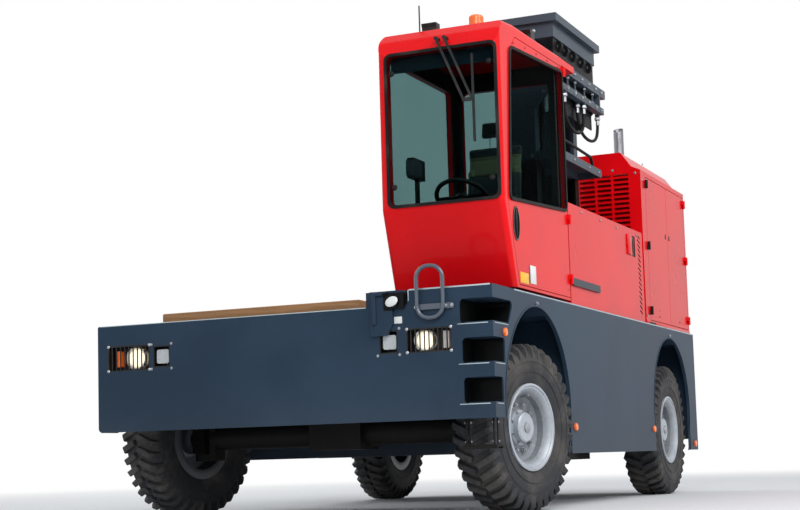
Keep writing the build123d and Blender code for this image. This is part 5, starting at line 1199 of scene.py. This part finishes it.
class TRUCK_OT_body_trim(bpy.types.Operator):
    """Add the side panel's latch, the hood's locks and bolts, and the rear lamps' frames"""
    bl_idname = "truck.body_trim"
    bl_label = "Body trim"

    def execute(self, context):
        bolt = context.scene.truck_sizes.bolt * 0.8
        latch = Shape().box((PANEL_X - 0.0215, 0.758, 2.001), (PANEL_X - 0.0040, 0.852, 2.169), 0.002)
        latch.box((PANEL_X - 0.006, 0.787, 2.030), (PANEL_X + 0.002, 0.817, 2.140), 0.003)
        latch.piece("panel_latch", "black")
        cover = Shape().box((PANEL_X - 0.002, 0.605, 2.000), (PANEL_X + 0.012, 0.730, 2.170), 0.006)
        cover.piece("latch_cover", "red")
        for end, y in (("front", 1.892), ("rear", 2.018)):
            lock = Shape().box((CAB_X1 - 0.0148, y - 0.021, 2.271), (CAB_X1 - 0.010, y + 0.021, 2.314), 0.001)
            lock.box((CAB_X1 - 0.0105, y - 0.013, 2.276), (CAB_X1 + 0.002, y + 0.013, 2.309), 0.004)
            lock.piece("hood_lock_" + end, "black", "hood_door_" + end)
        heads = Shape().bolts([(CAB_X1, 1.150, 2.700), (CAB_X1, 1.150, 1.530), (CAB_X1, 1.187, 2.842)],
                              LEFT, bolt, 0.008)
        along_panel = [(0.315, 2.185), (-0.135, 2.183), (-0.635, 2.180), (0.915, 2.190)]
        heads.bolts([(PANEL_X, y, z) for y, z in along_panel], LEFT, bolt, 0.008)
        heads.bolts([(0.66, HOOD_Y0, 2.760), (0.93, HOOD_Y0, 2.800), (1.20, HOOD_Y0, 2.800),
                     (1.40, HOOD_Y0, 2.760)], FORWARD, bolt, 0.008)
        heads.piece("body_bolts", "steel")
        foot = Shape().box((CAB_X1 - 0.002, HOOD_Y0 + 0.004, CAB_DECK_Z + 0.001),
                           (CAB_X1 + 0.006, REAR_Y - 0.004, CAB_DECK_Z + 0.026), 0.002)
        foot.piece("hood_foot_flange", "red")
        studs = Shape().domes(grid(CAB_X1, (1.565, 2.285), 1.545), LEFT, 0.009, 0.005, 16)
        studs.domes([(CAB_X1, 1.565, 1.600)], LEFT, 0.006, 0.003, 16)
        studs.piece("hood_door_front_studs", "black", "hood_door_front")
        strip = Shape()
        for y0, y1 in ((HOOD_Y0 + 0.070, HOOD_Y0 + 0.300), (HOOD_Y0 + 0.480, REAR_Y - 0.060)):
            strip.box((HOOD_X0 + 0.200, y0, HOOD_TOP_Z - 0.004), (1.240, y1, HOOD_TOP_Z + 0.014), 0.005)
        strip.piece("hood_roof_strip", "red")
        frames = Shape()
        bars = [(0, 0.050, 0.238, 0.010), (0, -0.050, 0.238, 0.010), (0.114, 0, 0.010, 0.110),
                (-0.114, 0, 0.010, 0.110)]
        for lamp_x in REAR_LAMP_XS:
            for dx, dz, wide, high in bars:
                x, z = lamp_x + dx, REAR_LAMP_Z + dz
                frames.box((x - wide / 2, REAR_Y - 0.001, z - high / 2),
                           (x + wide / 2, REAR_Y + 0.020, z + high / 2), 0.003)
            for x in (lamp_x - 0.037, lamp_x + 0.037):
                frames.box((x - 0.002, REAR_Y + 0.020, 1.137), (x + 0.002, REAR_Y + 0.0305, 1.223), 0.0008)
        frames.piece("rear_lamp_frames", "black")
        return {"FINISHED"}


class TRUCK_OT_deck_trim(bpy.types.Operator):
    """Add the platforms' screws and the bolts of the mast's rails"""
    bl_idname = "truck.deck_trim"
    bl_label = "Deck trim"

    def execute(self, context):
        along_ends = grid(row(-1.38, 0.205, 10), (-2.615, -0.735, 0.665, 2.545), PLATFORM_Z)
        along_sides = grid((-1.43, 0.54), row(-2.235, 0.4, 4) + row(0.965, 0.4, 4), PLATFORM_Z)
        screws = Shape().domes(along_ends + along_sides, UP, 0.012, 0.0035, 14)
        screws.piece("deck_screws", "steel")
        rails = Shape().bolts(grid(row(-1.30, 0.19, 14), (-0.575, 0.575), 0.640), UP, 0.010, 0.008)
        rails.piece("rail_bolts", "steel", matrix=FROM_MIDDLE)
        return {"FINISHED"}


class TRUCK_OT_mast_trim(bpy.types.Operator):
    """Add the mast's chain plates, bolts, nuts and seals"""
    bl_idname = "truck.mast_trim"
    bl_label = "Mast trim"

    def execute(self, context):
        bolt = context.scene.truck_sizes.bolt
        outer = Shape()
        seals = Shape()
        head = Shape()
        pins = Shape()
        chains = Shape()
        forks = Shape()
        outer.bolts(grid(FRAME_BACK_X, (-0.50, -0.34, -0.15, 0.04, 0.23, 0.42, 0.58), (3.206, 3.356)),
                    LEFT, bolt, 0.011)
        outer.bolts(grid(LEDGE_BACK_X, (-0.46, -0.20, 0.20, 0.46), 2.667), LEFT, bolt * 0.8, 0.009)
        for x, y, z in grid(1.264, (-0.430, -0.250, -0.060, 0.190, 0.410), (3.2315, 3.3055)):
            outer.rod((x, y, z), (x, y, z + 0.016), 0.0165, 6, 0.001)
        for side in SIDES:
            away = (0, side, 0)
            cheek = [(1.10, 3.34), (1.18, 3.30), (1.24, 3.26), (1.10, 3.22), (1.16, 3.16)]
            outer.bolts([(x, side * MAST_HALF, z) for x, z in cheek], away, bolt * 0.9, 0.009)
            outer.bolts(grid(1.05, side * MAST_HALF, (0.42, 1.25, 1.80, 2.30, 2.667)), away, bolt, 0.010)
            rings = [[(3.150, 0.040), (3.150, 0.060), (3.158, 0.058), (3.166, 0.046), (3.166, 0.0395)]]
            for z in (3.095, 3.140):
                rings.append([(z, 0.0655), (z, 0.0685), (z + 0.006, 0.0685), (z + 0.006, 0.0655)])
            for ring in rings:
                seals.spun(ring, (CYLINDER_X, side * 0.235, 0), UP, 40, closed=True)
            head.bolts(grid((0.80, 1.10), side * MAST_HALF, 3.640), away, bolt, 0.011)
            head.bolts([(SHEAVE_X, middle + side * 0.042, SHEAVE_Z) for middle in (-CHAIN_Y, CHAIN_Y)],
                       away, 0.016, 0.012)
            pins.bolts([(1.241, y + side * 0.018, 3.530) for y in GUIDE_YS], away, 0.012, 0.008)
            y = side * CHAIN_Y
            for x, z, lean in chain_links():
                for offset in (-0.0172, 0.0172):
                    plate = Matrix.Translation((x, y + offset, z)) @ Matrix.Rotation(lean, 4, "Y")
                    chains.box((-0.008, -0.0012, -0.0152), (0.008, 0.0012, 0.0152), 0.0, plate)
                chains.rod((x, y - 0.0215, z), (x, y + 0.0215, z), 0.0038, 8)
            forks.bolts(grid(0.621, side * 0.300, (1.435, 1.885)), RIGHT, 0.016, 0.014)
            forks.rod((0.681, side * 0.395, 1.435), (0.668, side * 0.395, 1.435), 0.014, 6, 0.001)
        outer.piece("mast_outer_bolts", "steel", "mast_outer", FROM_MIDDLE)
        seals.piece("cylinder_seals", "black", "mast_outer", FROM_MIDDLE)
        head.piece("crosshead_bolts", "steel", "mast_inner", FROM_MIDDLE)
        pins.piece("guide_roller_pins", "rail", "mast_inner", FROM_MIDDLE)
        chains.piece("chain_plates", "rail", "mast_inner", FROM_MIDDLE)
        forks.piece("fork_bolts", "steel", "fork_carriage", FROM_MIDDLE)
        return {"FINISHED"}


def swollen(context, name, boxes, lean, cap, shape_after):
    """A stuffed form: boxes fused by a voxel remesh, blown up as cloth, then shaped and smoothed."""
    blocks = Shape()
    for low, high, bevel in boxes:
        blocks.box(low, high, bevel, segments=3)
    data = bpy.data.meshes.new(name)
    blocks.mesh.to_mesh(data)
    blocks.mesh.free()
    made = placed(name, data)
    remesh = made.modifiers.new("fuse", "REMESH")
    remesh.mode = "VOXEL"
    remesh.voxel_size = PAD_VOXEL
    fused = bpy.data.meshes.new_from_object(made.evaluated_get(context.evaluated_depsgraph_get()))
    made.modifiers.clear()
    made.data = fused
    start = [vertex.co.copy() for vertex in fused.vertices]
    cloth = made.modifiers.new("stuffing", "CLOTH")
    cloth.settings.use_pressure = True
    cloth.settings.uniform_pressure_force = 4.0
    cloth.settings.effector_weights.gravity = 0.0
    cloth.point_cache.frame_start = 1
    cloth.point_cache.frame_end = CLOTH_FRAMES
    for step in range(1, CLOTH_FRAMES + 1):
        context.scene.frame_set(step)
    blown = bpy.data.meshes.new_from_object(made.evaluated_get(context.evaluated_depsgraph_get()))
    made.modifiers.clear()
    context.scene.frame_set(1)
    for vertex, before, after in zip(fused.vertices, start, blown.vertices):
        move = after.co - before
        vertex.co = before + (move if move.length <= cap else move.normalized() * cap)
    bpy.data.meshes.remove(blown)
    for vertex in fused.vertices:
        vertex.co = lean @ shape_after(vertex.co.copy())
    smooth = made.modifiers.new("smooth", "SUBSURF")
    smooth.levels = 1
    smooth.render_levels = 1
    for face in fused.polygons:
        face.use_smooth = True
    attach(made, "chassis")
    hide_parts("seat")
    return made


def stuffed(middle, half, along, out, sign, crown, channels=()):
    """Crowns a pad, draws its sides in between the corners and pulls sewn channels into it.

    along is the axis up or down the pad, and out is the axis that its front looks along, by sign."""
    def shape(at):
        u = max(-1.0, min(1.0, (at[0] - middle[0]) / half[0]))
        v = max(-1.0, min(1.0, (at[along] - middle[along]) / half[along]))
        at[0] = middle[0] + (at[0] - middle[0]) * (1 - WAIST * (1 - v * v))
        if (at[out] - middle[out]) * sign > 0:
            at[out] += sign * crown * (1 - u * u) * (1 - v * v)
            for channel in channels:
                at[out] -= sign * CHANNEL_DEPTH * math.exp(-((at[along] - channel) / CHANNEL_WIDTH) ** 2)
        return at
    return shape


class TRUCK_OT_seat(bpy.types.Operator):
    """Make the driver's seat of padded cloth, on its posts"""
    bl_idname = "truck.seat"
    bl_label = "Seat"

    def execute(self, context):
        plain = Matrix.Identity(4)
        rake = Matrix.Identity(4)
        x, y, z = SEAT
        rake[1][2] = SEAT_RAKE
        rake[1][3] = -SEAT_RAKE * (z + 0.090)
        cushion = [
            ((x - 0.222, y - 0.236, z + 0.014), (x + 0.222, y + 0.138, z + 0.082), 0.030),
            ((x - 0.228, y - 0.205, z + 0.014), (x - 0.152, y + 0.138, z + 0.108), 0.034),
            ((x + 0.152, y - 0.205, z + 0.014), (x + 0.228, y + 0.138, z + 0.108), 0.034),
        ]
        back = [
            ((x - 0.212, y + 0.166, z + 0.100), (x + 0.212, y + 0.222, z + 0.726), 0.026),
            ((x - 0.218, y + 0.142, z + 0.115), (x - 0.150, y + 0.222, z + 0.560), 0.030),
            ((x + 0.150, y + 0.142, z + 0.115), (x + 0.218, y + 0.222, z + 0.560), 0.030),
        ]
        headrest = [((x - 0.114, y + 0.178, z + 0.794), (x + 0.114, y + 0.224, z + 0.914), 0.022)]
        pads = [
            ("seat_cushion", "cloth", 0.7, cushion, plain, 0.009,
             stuffed((x, y - 0.050, z + 0.050), (0.230, 0.200, 1.0), 1, 2, 1, 0.014, (y - 0.105, y + 0.020))),
            ("seat_back", "seat_back", 0.7, back, rake, 0.009,
             stuffed((x, y + 0.194, z + 0.413), (0.222, 1.0, 0.330), 2, 1, -1, 0.016,
                     (z + 0.330, z + 0.500, z + 0.620))),
            ("seat_headrest", "cloth", 0.8, headrest, rake, 0.008,
             stuffed((x, y + 0.201, z + 0.854), (0.120, 1.0, 0.062), 2, 1, -1, 0.010)),
        ]
        for name, finish, fill, boxes, lean, cap, shape_after in pads:
            pad = swollen(context, name, boxes, lean, cap, shape_after)
            pad.data.materials.append(FINISHES[finish])
        posts = Shape()
        shell = Shape().box((x - 0.210, y - 0.225, z + 0.001), (x + 0.210, y + 0.145, z + 0.016), 0.004)
        for side in SIDES:
            spot = Vector((x + side * 0.045, y + 0.200 + SEAT_RAKE * 0.62, z + 0.700))
            posts.rod(spot, spot + Vector((0, SEAT_RAKE * 0.11, 0.110)), 0.006, 12)
            arm = x + side * 0.222
            shell.box((arm - 0.008, y + 0.060, z + 0.020), (arm + 0.008, y + 0.235, z + 0.150), 0.006)
        posts.piece("headrest_posts", "chrome")
        shell.piece("seat_pan", "black")
        return {"FINISHED"}


OPERATORS = [
    TRUCK_OT_finishes, TRUCK_OT_stage, TRUCK_OT_hoses, TRUCK_OT_tyres, TRUCK_OT_wheel_fastenings,
    TRUCK_OT_glass_trim, TRUCK_OT_lamps, TRUCK_OT_chassis_trim, TRUCK_OT_front_trim, TRUCK_OT_cab_trim,
    TRUCK_OT_body_trim, TRUCK_OT_deck_trim, TRUCK_OT_mast_trim, TRUCK_OT_seat,
]


class TRUCK_PT_panel(bpy.types.Panel):
    """Lists the truck's colours, sizes and pieces"""
    bl_idname = "TRUCK_PT_panel"
    bl_label = "Side loader"
    bl_space_type = "VIEW_3D"
    bl_region_type = "UI"
    bl_category = "Side loader"

    def draw(self, context):
        for group in (context.scene.truck_colours, context.scene.truck_sizes):
            box = self.layout.box()
            for name in group.__annotations__:
                box.prop(group, name)
        for operator in OPERATORS:
            self.layout.operator(operator.bl_idname)


CLASSES = [TruckColours, TruckSizes, *OPERATORS, TRUCK_PT_panel]


def register():
    for cls in CLASSES:
        bpy.utils.register_class(cls)
    bpy.types.Scene.truck_colours = PointerProperty(type=TruckColours)
    bpy.types.Scene.truck_sizes = PointerProperty(type=TruckSizes)


def unregister():
    del bpy.types.Scene.truck_sizes
    del bpy.types.Scene.truck_colours
    for cls in reversed(CLASSES):
        bpy.utils.unregister_class(cls)


def main():
    register()
    for operator in OPERATORS:
        group, name = operator.bl_idname.split(".")
        getattr(getattr(bpy.ops, group), name)()


if __name__ == "__main__":
    main()
